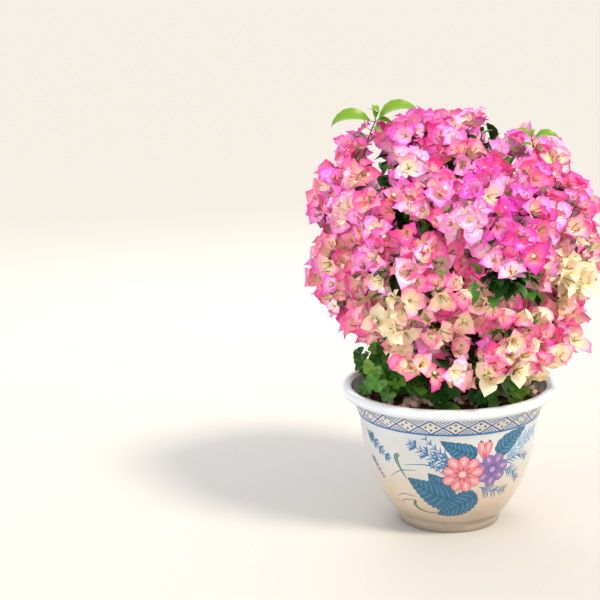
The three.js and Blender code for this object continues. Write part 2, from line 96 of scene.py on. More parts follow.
def start_material(name, colour, roughness, **inputs):
    """A new material with a Principled shader, its node tree and its object coordinates."""
    made = bpy.data.materials.new(name)
    made.use_nodes = True
    tree = made.node_tree
    shader = tree.nodes["Principled BSDF"]
    values = {"Base Color": linear(colour), "Roughness": roughness, **inputs}
    for socket, value in values.items():
        shader.inputs[socket].default_value = value
    place = add_node(tree, "ShaderNodeTexCoord").outputs["Object"]
    return made, tree, shader, place


def add_relief(tree, shader, place, grain_mm, depth_mm, strength=1.0, **inputs):
    """Fine relief from noise whose grain is about that wide."""
    grain = add_node(tree, "ShaderNodeTexNoise", inputs={"Scale": 1 / (grain_mm * MM), **inputs},
                     links={"Vector": place})
    bump = add_node(tree, "ShaderNodeBump", inputs={"Strength": strength, "Distance": depth_mm * MM},
                    links={"Height": grain.outputs["Fac"]})
    tree.links.new(bump.outputs["Normal"], shader.inputs["Normal"])
    return grain


print("helpers for materials are ready")

# %% [markdown]
# ## Light and floor
# The picture was taken in bright daylight from high on the right. A broad sun lamp stands for it: its wide
# angle gives the soft edges of a hazy sky, and it lights the floor evenly as far as the view goes. A cool
# lamp on the left opens the shadows and one behind lights the crown's edge, and a pale world does the rest.
# The floor is pale and plain and runs so far back that its end never shows from above.

# %% Build the studio
SUN = {"way": (0.55, -0.42, 0.82), "power": 2.6, "angle": 14, "colour": "#fff3e2"}
LAMPS = {
    "fill": {"place": (-2.4, -2.0, 1.3), "size": 2.4, "power": 26, "colour": "#eef3ff"},
    "back": {"place": (-0.6, 2.2, 2.2), "size": 1.8, "power": 26, "colour": "#ffffff"},
}
AIM = Vector((0.0, 0.0, 0.45))
SUN_FAR = 4
SKY_COLOUR, SKY_STRENGTH = "#f1f3f6", 0.95

bpy.ops.object.light_add(type="SUN", location=Vector(SUN["way"]) * SUN_FAR)
sun = bpy.context.object
sun.name = "sun"
sun.data.energy = SUN["power"]
sun.data.angle = math.radians(SUN["angle"])
sun.data.color = linear(SUN["colour"])[:3]
sun.rotation_euler = (-Vector(SUN["way"])).to_track_quat("-Z", "Y").to_euler()

for name, lamp in LAMPS.items():
    bpy.ops.object.light_add(type="AREA", location=lamp["place"])
    light = bpy.context.object
    light.name = name
    light.data.energy = lamp["power"]
    light.data.size = lamp["size"]
    light.data.color = linear(lamp["colour"])[:3]
    light.rotation_euler = (AIM - light.location).to_track_quat("-Z", "Y").to_euler()

world = bpy.data.worlds.new("pale studio")
world.use_nodes = True
sky = world.node_tree.nodes["Background"]
sky.inputs["Color"].default_value = linear(SKY_COLOUR)
sky.inputs["Strength"].default_value = SKY_STRENGTH
bpy.context.scene.world = world
bpy.context.scene.view_settings.view_transform = "Standard"
print("lamps: sun,", ", ".join(LAMPS))

# %% Lay the floor
FLOOR_SIZE = 400.0

bpy.ops.object.select_all(action="DESELECT")
bpy.ops.mesh.primitive_plane_add(size=FLOOR_SIZE)
floor = bpy.context.object
floor.name = "floor"
plaster, tree, shader, place = start_material("pale plaster floor", "#cfccc6", 0.85)
add_relief(tree, shader, place, grain_mm=4, depth_mm=0.3, strength=0.3)
floor.data.materials.append(plaster)
print("floor:", FLOOR_SIZE, "m wide")

# %% [markdown]
# ## The pot's body
# A pot like this is thrown or moulded: every height is a circle. So the wall is made as a potter pulls it
# up, one ring after another: a flat disc is extruded and scaled from the foot to the lip, rolled over, and
# brought down again inside to the floor. The wall's outline is the same smooth line as in the solid, but
# with four times as many sides, so that the glaze shows no flats.

# %% Draw the pot's outline
FOOT_OUTLINE = [(99, 0), (102, 1.2), (103, 4), (103.6, 8), (103.4, 13), (101.8, 17)]
BODY_CURVE = [(101, 19), (122, 37), (151, 91), (170, 152), (180, 216), (188, 243), (201, 263)]
LIP_CENTRE = (204, 275)
LIP_ROLL_R = 11
LIP_FROM, LIP_TO, LIP_STEPS = -75, 180, 22
POT_WALL = 10
POT_FLOOR_Z = 28


def smooth_through(points, steps, mirrored=False):
    """A smooth line through points, with so many steps between two of them. At each point it heads from
    the one before to the one after."""
    points = np.array(points, float)
    before = 2 * points[0] - points[1] if mirrored else points[0]
    after = 2 * points[-1] - points[-2] if mirrored else points[-1]
    held = np.vstack([before, points, after])
    line = []
    for i in range(1, len(points)):
        p0, p1, p2, p3 = held[i - 1:i + 3]
        for t in np.arange(steps) / steps:
            enter, leave = (p2 - p0) / 2, (p3 - p1) / 2
            line.append((2 * p1 - 2 * p2 + enter + leave) * t ** 3
                        + (3 * p2 - 3 * p1 - 2 * enter - leave) * t ** 2 + enter * t + p1)
    return np.array(line + [points[-1]])


WALL_LINE = smooth_through(BODY_CURVE, 12)


def wall_radius(height):
    """The pot's outer radius at a height of its wall."""
    return float(np.interp(height, WALL_LINE[:, 1], WALL_LINE[:, 0]))


def lip_outline():
    """The roll of the lip, as radii and heights from under it round to its inner side."""
    turns = np.radians(np.linspace(LIP_FROM, LIP_TO, LIP_STEPS))
    out, height = LIP_CENTRE
    return [(out + LIP_ROLL_R * math.cos(t), height + LIP_ROLL_R * math.sin(t)) for t in turns]


print("wall line:", len(WALL_LINE), "points")

# %% Throw the pot
POT_SIDES = 128
INNER_HEIGHTS = (34, 262)
SMOOTH_ANGLE = math.radians(40)


def raise_rings(name, sides, rings):
    """A round form pulled up ring by ring. A ring is a radius, a height and, if it leans, its middle."""
    rings = [(radius, height, middle[0] if middle else (0, 0)) for radius, height, *middle in rings]
    radius, height, (x, y) = rings[0]
    bpy.ops.object.select_all(action="DESELECT")
    bpy.ops.mesh.primitive_circle_add(vertices=sides, radius=radius * MM, fill_type="NGON",
                                      location=(x * MM, y * MM, height * MM))
    form = bpy.context.object
    form.name = name
    bpy.ops.object.transform_apply(location=True, rotation=False, scale=False)
    bpy.ops.object.mode_set(mode="EDIT")
    for low, high in zip(rings, rings[1:]):
        step = Vector((high[2][0] - low[2][0], high[2][1] - low[2][1], high[1] - low[1])) * MM
        bpy.ops.mesh.extrude_region_move(TRANSFORM_OT_translate={"value": step})
        widen = high[0] / low[0]
        middle = Vector((*high[2], high[1])) * MM
        bpy.ops.transform.resize(value=(widen, widen, 1), center_override=middle)
    bpy.ops.mesh.select_all(action="SELECT")
    bpy.ops.mesh.normals_make_consistent(inside=False)
    bpy.ops.object.mode_set(mode="OBJECT")
    return form


outer = [tuple(p) for p in WALL_LINE[1::3]]
inner = [(r - POT_WALL, z) for r, z in WALL_LINE[::-3] if INNER_HEIGHTS[0] < z < INNER_HEIGHTS[1]]
# The inner wall rounds into the floor in two steps, and the last ring leaves a small disc in its middle.
floor_edge = wall_radius(POT_FLOOR_Z + 4) - POT_WALL
bottom = [(floor_edge - 2, POT_FLOOR_Z + 2), (floor_edge - 8, POT_FLOOR_Z), (20, POT_FLOOR_Z)]
pot = raise_rings("pot_body", POT_SIDES, [*FOOT_OUTLINE, *outer, *lip_outline(), *inner, *bottom])
bpy.ops.object.shade_smooth_by_angle(angle=SMOOTH_ANGLE)
print("pot faces:", len(pot.data.polygons))

# %% [markdown]
# ## The pot's glaze
# Glazed earthenware is glassy: smooth, with a sharp highlight. Its colour follows height, and the changes
# are
# painted light: the foot is dark and warm as painted shade and a painted reflection of the floor, the low
# wall is warm as a painted bounce of light from the floor, and the thick roll of the lip is bluish as a
# painted reflection of the sky. Over it lie soft clouds a few centimetres wide and a few dark iron specks,
# and the relief is the faint orange peel of a brushed glaze.

# %% Mix the glaze
# Each band's share of the pot's height, and its colour. The dark foot, the warm low wall and the bluish lip
# are painted light.
GLAZE_AND_PAINTED_LIGHT_BANDS = [(0.0, "#8f7f6c"), (0.07, "#b2a08b"), (0.3, "#d8c1a7"), (0.55, "#d3d1cb"), (0.86, "#d5d8d9"),
               (0.96, "#dce3e7"), (1.0, "#e6ecef")]
CLOUD_MM, SPECK_GAP_MM = 36, 16

glaze, tree, shader, place = start_material(
    "glazed earthenware", "#f4f0e8", 0.16, **{"Coat Weight": 0.6, "Coat Roughness": 0.06, "IOR": 1.5},
)
height = add_node(tree, "ShaderNodeSeparateXYZ", links={"Vector": place}).outputs["Z"]
share = add_node(tree, "ShaderNodeMath", {"operation": "DIVIDE"}, {1: LIP_CENTRE[1] * MM}, {0: height})
by_height = add_node(tree, "ShaderNodeValToRGB", links={"Fac": share.outputs["Value"]})
bands = by_height.color_ramp.elements
for at, colour in GLAZE_AND_PAINTED_LIGHT_BANDS[1:-1]:
    bands.new(at).color = linear(colour)
bands[0].color = linear(GLAZE_AND_PAINTED_LIGHT_BANDS[0][1])
bands[len(bands) - 1].color = linear(GLAZE_AND_PAINTED_LIGHT_BANDS[-1][1])
clouds = add_node(tree, "ShaderNodeTexNoise", inputs={"Scale": 1 / (CLOUD_MM * MM), "Detail": 3.0},
                  links={"Vector": place})
clouded = add_node(tree, "ShaderNodeMix", {"data_type": "RGBA", "blend_type": "SOFT_LIGHT"},
                   {"Factor": 0.35}, {"A": by_height.outputs["Color"], "B": clouds.outputs["Fac"]})
specks = add_node(tree, "ShaderNodeTexVoronoi", inputs={"Scale": 1 / (SPECK_GAP_MM * MM)},
                  links={"Vector": place})
speck = add_node(tree, "ShaderNodeMapRange",
                 inputs={"From Min": 0.03, "From Max": 0.075, "To Min": 0.35, "To Max": 0.0},
                 links={"Value": specks.outputs["Distance"]})
specked = add_node(tree, "ShaderNodeMix", {"data_type": "RGBA"}, {"B": linear("#6d5b49")},
                   {"Factor": speck.outputs["Result"], "A": clouded.outputs[2]})
tree.links.new(specked.outputs[2], shader.inputs["Base Color"])
add_relief(tree, shader, place, grain_mm=9, depth_mm=0.25, strength=0.5)
pot.data.materials.append(glaze)
print("bands in the glaze:", len(bands))

# %% Hand the pot over
def hand_over(piece, nodes=()):
    """The piece belongs to the object and stands for the named solids, which are hidden."""
    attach(piece, "root")
    if nodes:
        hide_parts(*nodes)


hand_over(pot, ["pot"])
print("glaze on", pot.name)

# %% [markdown]
# ## Gathering small shapes
# Brush marks, stones, bracts and leaves are many copies of a few small shapes. Each copy as an object of
# its own would be slow, so a heap collects their corners and faces as arrays and becomes one mesh. Every
# face keeps a number, its tone, that says which of the piece's materials it wears.

# %% A heap of shapes
class Heap:
    """Corners, faces and tones of many small shapes."""
    def __init__(self):
        self.points, self.faces, self.tones, self.count = [], [], [], 0

    def add(self, points, faces, tones):
        """A shape, with the tone of each of its faces."""
        self.points.append(points)
        self.faces.extend(tuple(corner + self.count for corner in face) for face in faces)
        self.tones.extend(tones)
        self.count += len(points)

    def add_plain(self, points, faces, tone):
        """A shape of one tone."""
        self.add(points, faces, [tone] * len(faces))

    def become(self, name, materials):
        """One mesh object of everything in the heap."""
        mesh = bpy.data.meshes.new(name)
        mesh.from_pydata((np.vstack(self.points) * MM).tolist(), [], self.faces)
        for made in materials:
            mesh.materials.append(made)
        mesh.polygons.foreach_set("material_index", self.tones)
        mesh.shade_smooth()
        piece = bpy.data.objects.new(name, mesh)
        bpy.context.collection.objects.link(piece)
        return piece


def lattice_faces(rows, columns, closed=False):
    """Quads between rows of corners. A closed row runs round and meets its own start."""
    faces = []
    width = columns if closed else columns + 1
    for row in range(rows):
        for column in range(columns):
            ahead = (column + 1) % width
            low, high = row * width, (row + 1) * width
            faces.append((low + column, low + ahead, high + ahead, high + column))
    return faces


def unit(vector):
    """The vector at length one."""
    return vector / np.linalg.norm(vector)


print("heap ready")

# %% [markdown]
# ## Painting the pot
# The decoration is painted on the glaze with a pointed brush. A brush mark is a ribbon along a line, wider
# where the brush is pressed, so one function lays every mark: lines, dots, petals, leaves and their veins.
# It works on flat paper in millimetres round an anchor on the pot, then wraps the ribbon round the wall a
# quarter of a millimetre proud of it, and a little more for each layer that lies over another. Real
# geometry keeps thin lines crisp however near the eye comes.

# %% The paints
PAINTS = {
    "cobalt line": "#1a5394", "cobalt wash": "#2570a6", "pale cobalt": "#82b0d4",
    "teal": "#1c698c", "deep teal": "#17466e", "light teal": "#4189a4",
    "coral": "#e98d93", "light coral": "#f4bab9", "deep coral": "#c65a6c",
    "mauve": "#8a6da3", "light mauve": "#b194c4", "deep mauve": "#6a5390",
    "sage": "#6d9a7c", "deep sage": "#41705f", "umber line": "#6a4450", "cream wash": "#e0d8ca",
}
TONE = {name: number for number, name in enumerate(PAINTS)}
print("paints:", len(PAINTS))

# %% The brush
PROUD, LAYER_RISE = 0.25, 0.6
PAINT_STEP = 9.0
painted = Heap()


def on_wall(angle, height, proud):
    """A point on the pot's wall, by its angle from the front in degrees and its height."""
    slope = (wall_radius(height + 1) - wall_radius(height - 1)) / 2
    lean = math.hypot(1, slope)
    radius = wall_radius(height) + proud / lean
    turn = math.radians(angle)
    return [math.sin(turn) * radius, -math.cos(turn) * radius, height - proud * slope / lean]


def brush(anchor, path, widths, tone, layer=0, turn=0.0, edge_tone=None):
    """A brush mark along a path on flat paper round an anchor (angle and height), laid on the pot."""
    path = np.array(path, float)
    reach = np.linalg.norm(np.diff(path, axis=0), axis=1).sum()
    steps = max(2, math.ceil(reach / PAINT_STEP * 2 / (len(path) - 1)))
    line = smooth_through(path, steps) if len(path) > 2 else np.linspace(path[0], path[1], steps + 1)
    wide = np.interp(np.linspace(0, 1, len(line)), np.linspace(0, 1, len(widths)), widths)
    ahead = np.gradient(line, axis=0)
    side = np.stack([-ahead[:, 1], ahead[:, 0]], axis=1) / np.linalg.norm(ahead, axis=1)[:, None]
    columns = max(1, math.ceil(max(widths) / PAINT_STEP)) * (2 if edge_tone else 1)
    radius = wall_radius(anchor[1])
    points = []
    for middle, across, width in zip(line, side, wide):
        for share in np.linspace(-0.5, 0.5, columns + 1):
            x, y = middle + across * share * width
            angle = anchor[0] + turn + math.degrees(x / radius)
            points.append(on_wall(angle, anchor[1] + y, PROUD * (1 + LAYER_RISE * layer)))
    tones = [TONE[tone]] * columns
    if edge_tone:
        tones[0] = tones[-1] = TONE[edge_tone]
    painted.add(np.array(points), lattice_faces(len(line) - 1, columns), tones * (len(line) - 1))


print("a layer of paint rises", PROUD * LAYER_RISE, "mm")

# %% [markdown]
# ## The lattice band
# Under the lip runs the traditional diaper border of such pots: crossing lines, four dots in each diamond
# and two nested chevrons in each triangle, between a thick line and a thin one.

# %% Paint the band
BAND_LOW, BAND_HIGH = 230, 261
BAND_REPEATS = 25
BAND_FIRST = -3.1
LINE_W, HAIR_W, DOT_R = 2.9, 1.6, 2.7
HAND_SWELL = 0.12
CHEVRON_PEAKS, CHEVRON_SHARE = (0.42, 0.76), 0.92
DOT_PLACES, DOT_RISE = ((0.42, 0), (-0.42, 0), (0, 0.4), (0, -0.4)), 1.05
WASH_LAYER = -0.8


def ring_line(height, width, tone):
    """A line right round the pot, a little uneven as a hand draws it."""
    for i in range(BAND_REPEATS * 2):
        start, end = i * 180 / BAND_REPEATS, (i + 1) * 180 / BAND_REPEATS
        middle = (start + end) / 2
        half = math.radians(end - start) / 2 * wall_radius(height)
        swell = width * (1 + HAND_SWELL * math.sin(i * 2.4))
        brush((middle, height), [(-half, 0), (0, 0), (half, 0)], [width, swell, width], tone)


def dot(anchor, x, y, radius, tone, turn=0.0, layer=0):
    """A round dab of the brush."""
    path = [(x - radius, y), (x - radius * 0.5, y), (x + radius * 0.5, y), (x + radius, y)]
    brush(anchor, path, [0.2, radius * 1.75, radius * 1.75, 0.2], tone, turn=turn, layer=layer)


def band_repeat(turn):
    """One crossing of the lattice with its chevrons, and the dots of the diamond beside it."""
    middle = (BAND_LOW + BAND_HIGH) / 2
    anchor = (turn, middle)
    half = math.radians(180 / BAND_REPEATS) * wall_radius(middle)
    rise = (BAND_HIGH - BAND_LOW) / 2
    for sign in (-1, 1):
        brush(anchor, [(-half, -rise * sign), (0, 0), (half, rise * sign)], [LINE_W, LINE_W * 0.8, LINE_W],
              "cobalt line", layer=1)
        edge = rise * sign * CHEVRON_SHARE
        for peak in CHEVRON_PEAKS:
            spread = half * (1 - peak) * CHEVRON_SHARE
            for side in (-1, 1):
                chevron = [(spread * side, edge), (0, edge * peak)]
                brush(anchor, chevron, [HAIR_W, HAIR_W * 0.8], "cobalt line")
    brush(anchor, [(half, -rise), (half, 0), (half, rise)], [0.5, half * 1.9, 0.5], "cream wash",
          layer=WASH_LAYER)
    for x, y in DOT_PLACES:
        dot(anchor, half + x * half, y * rise * DOT_RISE, DOT_R, "cobalt line")


for i in range(BAND_REPEATS):
    band_repeat(BAND_FIRST + i * 360 / BAND_REPEATS)
print("marks in the lattice:", len(painted.points))

# %% Paint the lines beside it
INNER_LINE = [(266, 191.2), (270, 192.2)]
THICK_LINE, THIN_LINE = 4.0, 1.8


def inner_line(sides=POT_SIDES):
    """The dark line inside the mouth, just under the roll of the lip."""
    points = [[(radius - PROUD) * math.sin(turn), -(radius - PROUD) * math.cos(turn), height]
              for height, radius in INNER_LINE for turn in np.arange(sides) * 2 * math.pi / sides]
    faces = [face[::-1] for face in lattice_faces(1, sides, closed=True)]
    painted.add_plain(np.array(points), faces, TONE["deep teal"])


inner_line()
ring_line(BAND_LOW - 1, THICK_LINE, "cobalt wash")
ring_line(BAND_HIGH + 1.2, THIN_LINE, "cobalt line")
print("marks in the band:", len(painted.points))

# %% [markdown]
# ## The flower spray
# Below the band is a loose spray in the manner of old export ware: a coral flower and a mauve one, a bud,
# serrated teal leaves with herringbone veins, ferny blue sprigs and curled tendrils. Each is built from
# the same few marks: petals and leaves are wide ones with darker edges, and outlines and veins lie on them.
# The spray is painted twice, on the front and on the back.

# %% A petal and a flower
def along(start, direction, distance, aside=0.0):
    """A point on the paper at a distance along a direction in degrees, and a little aside of it."""
    turn = math.radians(direction)
    return (start[0] + math.cos(turn) * distance - math.sin(turn) * aside,
            start[1] + math.sin(turn) * distance + math.cos(turn) * aside)


PETAL_WIDTH = 4.6
PETAL_SWELL = (0.4, 0.7, 0.92, 1, 0.97, 0.8, 0.3)
PETAL_EDGE = [(0, 0.2), (0.35, 0.46), (0.62, 0.49), (0.88, 0.38), (1.0, 0.05)]
PETAL_REACH, PETAL_UNEVEN, PETAL_LAYER = 0.8, 0.07, 0.25
FLOWER_EYE, ANTHERS_OUT, ANTHER_R = 0.2, 0.19, 1.3


def petal(anchor, start, direction, length, width, tones, turn, layer=0.0):
    """A rounded petal: a wash, a paler streak down its middle and a fine outline."""
    wash, pale, deep = tones

    def down_middle(*shares):
        """Points down the petal's middle, at shares of its length."""
        return [along(start, direction, length * share) for share in shares]

    brush(anchor, down_middle(0, 0.35, 0.7, 1), [width * swell for swell in PETAL_SWELL], wash,
          layer=layer, turn=turn)
    brush(anchor, down_middle(0.3, 0.6, 0.92), [0.5, width * 0.34, 0.6], pale, layer=layer + 1, turn=turn)
    for side in (-1, 1):
        edge = [along(start, direction, length * ahead, side * width * out) for ahead, out in PETAL_EDGE]
        brush(anchor, edge, [0.8, 1.6, 0.8], deep, layer=layer + 1, turn=turn)
    brush(anchor, down_middle(-0.05, 0.15, 0.4), [width * 0.3, width * 0.2, 0.4], deep,
          layer=layer + 1.2, turn=turn)


def flower(anchor, centre, radius, petals, tones, turn, spin=0.0, layer=0.0):
    """A flower of so many petals. Its marks take up about three layers above the one it starts on."""
    for i in range(petals):
        direction = spin + i * 360 / petals
        reach = radius * (1 + PETAL_UNEVEN * math.sin(i * 2.7))
        petal(anchor, along(centre, direction, radius * FLOWER_EYE), direction, reach * PETAL_REACH,
              radius * PETAL_WIDTH / petals, tones, turn, layer + (i % 3) * PETAL_LAYER)
    dot(anchor, centre[0], centre[1], radius * FLOWER_EYE, tones[1], turn, layer=layer + 2)
    for i in range(petals):
        anther = along(centre, i * 360 / petals, radius * ANTHERS_OUT)
        dot(anchor, *anther, ANTHER_R, tones[2], turn, layer=layer + 3)


print("a petal has", len(PETAL_SWELL), "widths along it")

# %% A painted leaf
LEAF_TEETH, TOOTH, LEAF_EDGE = 12, 0.08, 1.6
LEAF_VEINS, FIRST_VEIN, VEIN_SPAN = 8, 0.08, 0.8
VEIN_REACH, VEIN_AHEAD, VEIN_ASIDE, VEIN_SAG = 0.52, 0.62, 0.84, -0.08


def leaf_swell(share):
    """The share of its full width that a painted leaf has along its length: widest a third of the way."""
    return 2.97 * share ** 0.55 * (1 - share) ** 1.2


def painted_leaf(anchor, base, tip_point, width, bow, turn, layer=0.0):
    """A serrated leaf with a midrib and herringbone veins."""
    base, tip_point = np.array(base, float), np.array(tip_point, float)
    axis = tip_point - base
    length = np.linalg.norm(axis)
    side = np.array([-axis[1], axis[0]]) / length
    middle = [base, base + axis * 0.33 + side * bow, base + axis * 0.68 + side * bow * 0.8, tip_point]
    shares = np.linspace(0, 1, LEAF_TEETH * 2 + 1)
    swell = width * leaf_swell(shares)
    teeth = 1 + TOOTH * np.where(np.arange(len(shares)) % 2, 1, -1)
    brush(anchor, middle, list(swell * teeth + LEAF_EDGE), "deep teal", turn=turn, layer=layer)
    brush(anchor, middle, list(swell * teeth), "teal", turn=turn, layer=layer + 0.5)
    line = smooth_through(middle, 10)
    for k in range(LEAF_VEINS * 2 - 1):
        share = FIRST_VEIN + VEIN_SPAN * k / (LEAF_VEINS * 2 - 1)
        at = max(1, int(len(line) * share))
        ahead = unit(line[min(at + 1, len(line) - 1)] - line[at - 1])
        across = np.array([-ahead[1], ahead[0]])
        reach = width * VEIN_REACH * leaf_swell(share + 0.1)
        between = k % 2 == 1
        for sign in (-1, 1):
            end = line[at] + ahead * reach * VEIN_AHEAD + across * sign * reach * VEIN_ASIDE
            bend = (line[at] + end) / 2 + ahead * reach * VEIN_SAG
            brush(anchor, [line[at], bend, end], [0.6, 2.6, 0.8] if between else [1.7, 1.3, 0.5],
                  "light teal" if between else "deep teal", turn=turn,
                  layer=layer + (1 if between else 1.3))
    brush(anchor, middle, [1.8, 1.4, 0.5], "deep teal", layer=layer + 1.6, turn=turn)


print("a leaf has", LEAF_VEINS, "pairs of veins")

# %% A sprig
NEEDLE_SPREAD, TWIG_SPREAD = 42, 36
NEEDLE_TAPER, NEEDLE_BOW = 0.5, 0.75


def sprig(anchor, path, needles, length, tone, turn, spread=NEEDLE_SPREAD, branched=False):
    """A ferny sprig: a thin stem with needles in pairs, shorter towards its tip. On a branched one every
    other pair is a small sprig itself."""
    line = smooth_through(path, 10)
    brush(anchor, path, [1.8, 1.4, 0.9], tone, turn=turn)
    for k in range(needles):
        at = int(1 + (len(line) - 2) * (k + 0.5) / needles)
        ahead = line[at] - line[at - 1]
        heading = math.degrees(math.atan2(ahead[1], ahead[0]))
        reach = length * (1 - NEEDLE_TAPER * k / needles)
        for sign in (-1, 1):
            start = tuple(line[at])
            bend = along(start, heading + sign * spread * NEEDLE_BOW, reach * 0.5)
            end = along(start, heading + sign * spread, reach)
            if branched and k % 2:
                sprig(anchor, [start, bend, end], 3, length * 0.5, tone, turn, TWIG_SPREAD)
            else:
                brush(anchor, [start, bend, end], [0.9, 2.5, 0.5], tone, turn=turn)


print("needles stand", NEEDLE_SPREAD, "degrees from their stem")

# %% Lay out the spray
SPRAY_ANCHOR = (10, 146)
# A sprig's path, its needles, their length, its tone, and whether it is branched.
SPRAY_SPRIGS = [
    ([(-16, 22), (-56, 34), (-106, 62)], 9, 23, "cobalt wash", True),
    ([(-30, 34), (-52, 52), (-72, 74)], 5, 17, "cobalt wash", False),
    ([(-22, 16), (-46, 12), (-66, 20)], 5, 15, "cobalt wash", False),
    ([(84, 24), (128, 48), (172, 58)], 11, 26, "pale cobalt", True),
    ([(80, 12), (118, 22), (150, 10)], 8, 22, "cobalt wash", False),
    ([(84, -2), (112, -12), (134, -34)], 8, 22, "cobalt wash", False),
    ([(34, -32), (64, -46), (102, -50)], 8, 27, "cobalt wash", False),
]
TENDRILS = [
    [(-160, -22), (-128, -2), (-92, 4)], [(-118, 12), (-70, 18), (-34, -4)],
    [(-156, -66), (-134, -56), (-106, -58)], [(-152, -80), (-136, -70), (-106, -66)],
]
# A curled leaf's path and its widths.
CURLED_LEAVES = [
    ([(-128, 32), (-136, 26), (-132, 10), (-118, -18)], [6.0, 9.5, 9.0, 5.0, 1.6]),
    ([(-106, -68), (-112, -76), (-102, -88), (-78, -93), (-52, -92)], [5.5, 7.5, 4.0, 1.4, 1.2]),
]
# A serrated leaf's base and tip, its width, how far it bows, and its layer.
SPRAY_LEAVES = [
    ((-20, -42), (-70, 0), 42, 3, 0), ((-16, -58), (-114, -16), 62, 7, 1.7),
    ((30, -48), (-58, -96), 52, 4, 3.4), ((24, 40), (-44, 70), 37, 5, 0), ((66, 34), (132, 78), 38, 6, 0),
]
BUD, BUD_DIRECTIONS, BUD_TIPS = (38, 31), (74, 104), ((47, 66), (30, 67))
print("sprigs:", len(SPRAY_SPRIGS), "leaves:", len(SPRAY_LEAVES) + len(CURLED_LEAVES))

# %% Paint the sprays, front and back
CORAL = ("coral", "light coral", "deep coral")
MAUVE = ("mauve", "light mauve", "deep mauve")
COBALT = ("cobalt wash", "pale cobalt", "cobalt line")


def spray_of_flowers(turn):
    """The whole spray on its paper, in millimetres from the middle of the coral flower."""
    at = SPRAY_ANCHOR
    for path, needles, length, tone, branched in SPRAY_SPRIGS:
        sprig(at, path, needles, length, tone, turn, branched=branched)
    for path in TENDRILS:
        brush(at, path, [0.5, 1.8, 0.5], "cobalt wash", turn=turn)
    for path, widths in CURLED_LEAVES:
        brush(at, path, widths, "sage", turn=turn, edge_tone="deep sage")
    for base, tip_point, width, bow, layer in SPRAY_LEAVES:
        painted_leaf(at, base, tip_point, width, bow, turn, layer)
    flower(at, (57, 4), radius=35, petals=7, tones=MAUVE, turn=turn, spin=12, layer=1.7)
    flower(at, (-3, 0), radius=40, petals=9, tones=CORAL, turn=turn, spin=6, layer=4)
    for direction in BUD_DIRECTIONS:
        petal(at, BUD, direction, length=36, width=16, tones=CORAL, turn=turn, layer=1)
    for x, y in BUD_TIPS:
        dot(at, x, y, 2.4, "umber line", turn, layer=3)


def side_sprig(turn):
    """A small sprig with a flower that fills the space between two sprays."""
    at = (-54, 188)
    sprig(at, [(-34, 22), (0, 0), (38, -26)], 9, 18, "cobalt wash", turn, branched=True)
    flower(at, (-14, 10), radius=9, petals=6, tones=COBALT, turn=turn)
    sprig(at, [(-26, -30), (-12, -50), (4, -72)], 6, 14, "cobalt wash", turn)


for half_turn in (0, 180):
    spray_of_flowers(half_turn)
    side_sprig(half_turn)
print("marks in all:", len(painted.points))

# %% Fire the painting
paints = []
for name, colour in PAINTS.items():
    paint, tree, shader, place = start_material(
        f"{name} enamel", colour, 0.22, **{"Coat Weight": 0.5, "Coat Roughness": 0.08},
    )
    add_relief(tree, shader, place, grain_mm=2.5, depth_mm=0.05, strength=0.4)
    paints.append(paint)
painting = painted.become("pot_painting", paints)
hand_over(painting)
print("painted faces:", len(painting.data.polygons))

# %% [markdown]
# ## The soil
# Potting soil with bark chips, scattered stones and a small heap of pinkish ones at the front left. The
# ground is one more ringed form, filled with rings from the wall inwards and roughened by noise. On it lie
# copies of a few rough chips and pebbles.

# %% Lay the soil
SOIL_EDGE_Z, SOIL_TOP_Z, SOIL_FLAT_R = 252, 262, 62
SOIL_SIDES, SOIL_RINGS = 144, 26
SOIL_GAP, SOIL_LOW_Z, SOIL_MIDDLE_R = 1.5, (205, 225, 240), 7
SOIL_ROUGH, COARSE_MM, FINE_MM, FINE_SHARE, SOIL_FADE = 2.2, 19, 6, 0.6, 8

edge_r = wall_radius(SOIL_EDGE_Z) - POT_WALL - SOIL_GAP


def soil_height(out):
    """The mound's height at a distance from the pot's axis."""
    return float(np.interp(out, [SOIL_FLAT_R, edge_r], [SOIL_TOP_Z, SOIL_EDGE_Z]))


below = [(wall_radius(z) - POT_WALL - SOIL_GAP, z) for z in SOIL_LOW_Z]
top_rings = [(r, soil_height(r)) for r in np.linspace(edge_r, SOIL_MIDDLE_R, SOIL_RINGS)]
soil = raise_rings("soil_ground", SOIL_SIDES, below + top_rings)
for corner in soil.data.vertices:
    x, y, z = corner.co / MM
    if z >= SOIL_EDGE_Z - 0.5:
        fade = min(1.0, (edge_r - math.hypot(x, y)) / SOIL_FADE)
        coarse = noise.noise(Vector((x, y, 3)) / COARSE_MM)
        fine = noise.noise(Vector((x, y, 7)) / FINE_MM)
        corner.co.z += (coarse + FINE_SHARE * fine) * SOIL_ROUGH * fade * MM
bpy.ops.object.shade_smooth()
print("soil faces:", len(soil.data.polygons))

# %% Rough chips and stones
CHIP_KINDS, STONE_KINDS, ROUGHNESS = 4, 3, (0.72, 1.1)
# The pink stone is the stones' own pink made paler, as painted light for sun on them where the crown shades
# them.
GROUND = {"dark humus": "#2e1f18", "bark chip": "#5d3a2b", "red bark": "#7c4a38", "dry bark": "#8d6450",
          "pink stone": "#f3c9b6", "grey stone": "#b5aba0"}
chance = np.random.default_rng(11)
litter = Heap()


def rough_ball(subdivisions):
    """A small ball with its corners pushed in and out, as a stone or a chip."""
    bpy.ops.object.select_all(action="DESELECT")
    bpy.ops.mesh.primitive_ico_sphere_add(subdivisions=subdivisions, radius=1)
    ball = bpy.context.object
    points = np.array([corner.co[:] for corner in ball.data.vertices])
    points *= chance.uniform(*ROUGHNESS, (len(points), 1))
    faces = [tuple(face.vertices) for face in ball.data.polygons]
    bpy.data.objects.remove(ball)
    return points, faces


chip_shapes = [rough_ball(1) for _ in range(CHIP_KINDS)]
print("chip:", len(chip_shapes[0][1]), "faces")

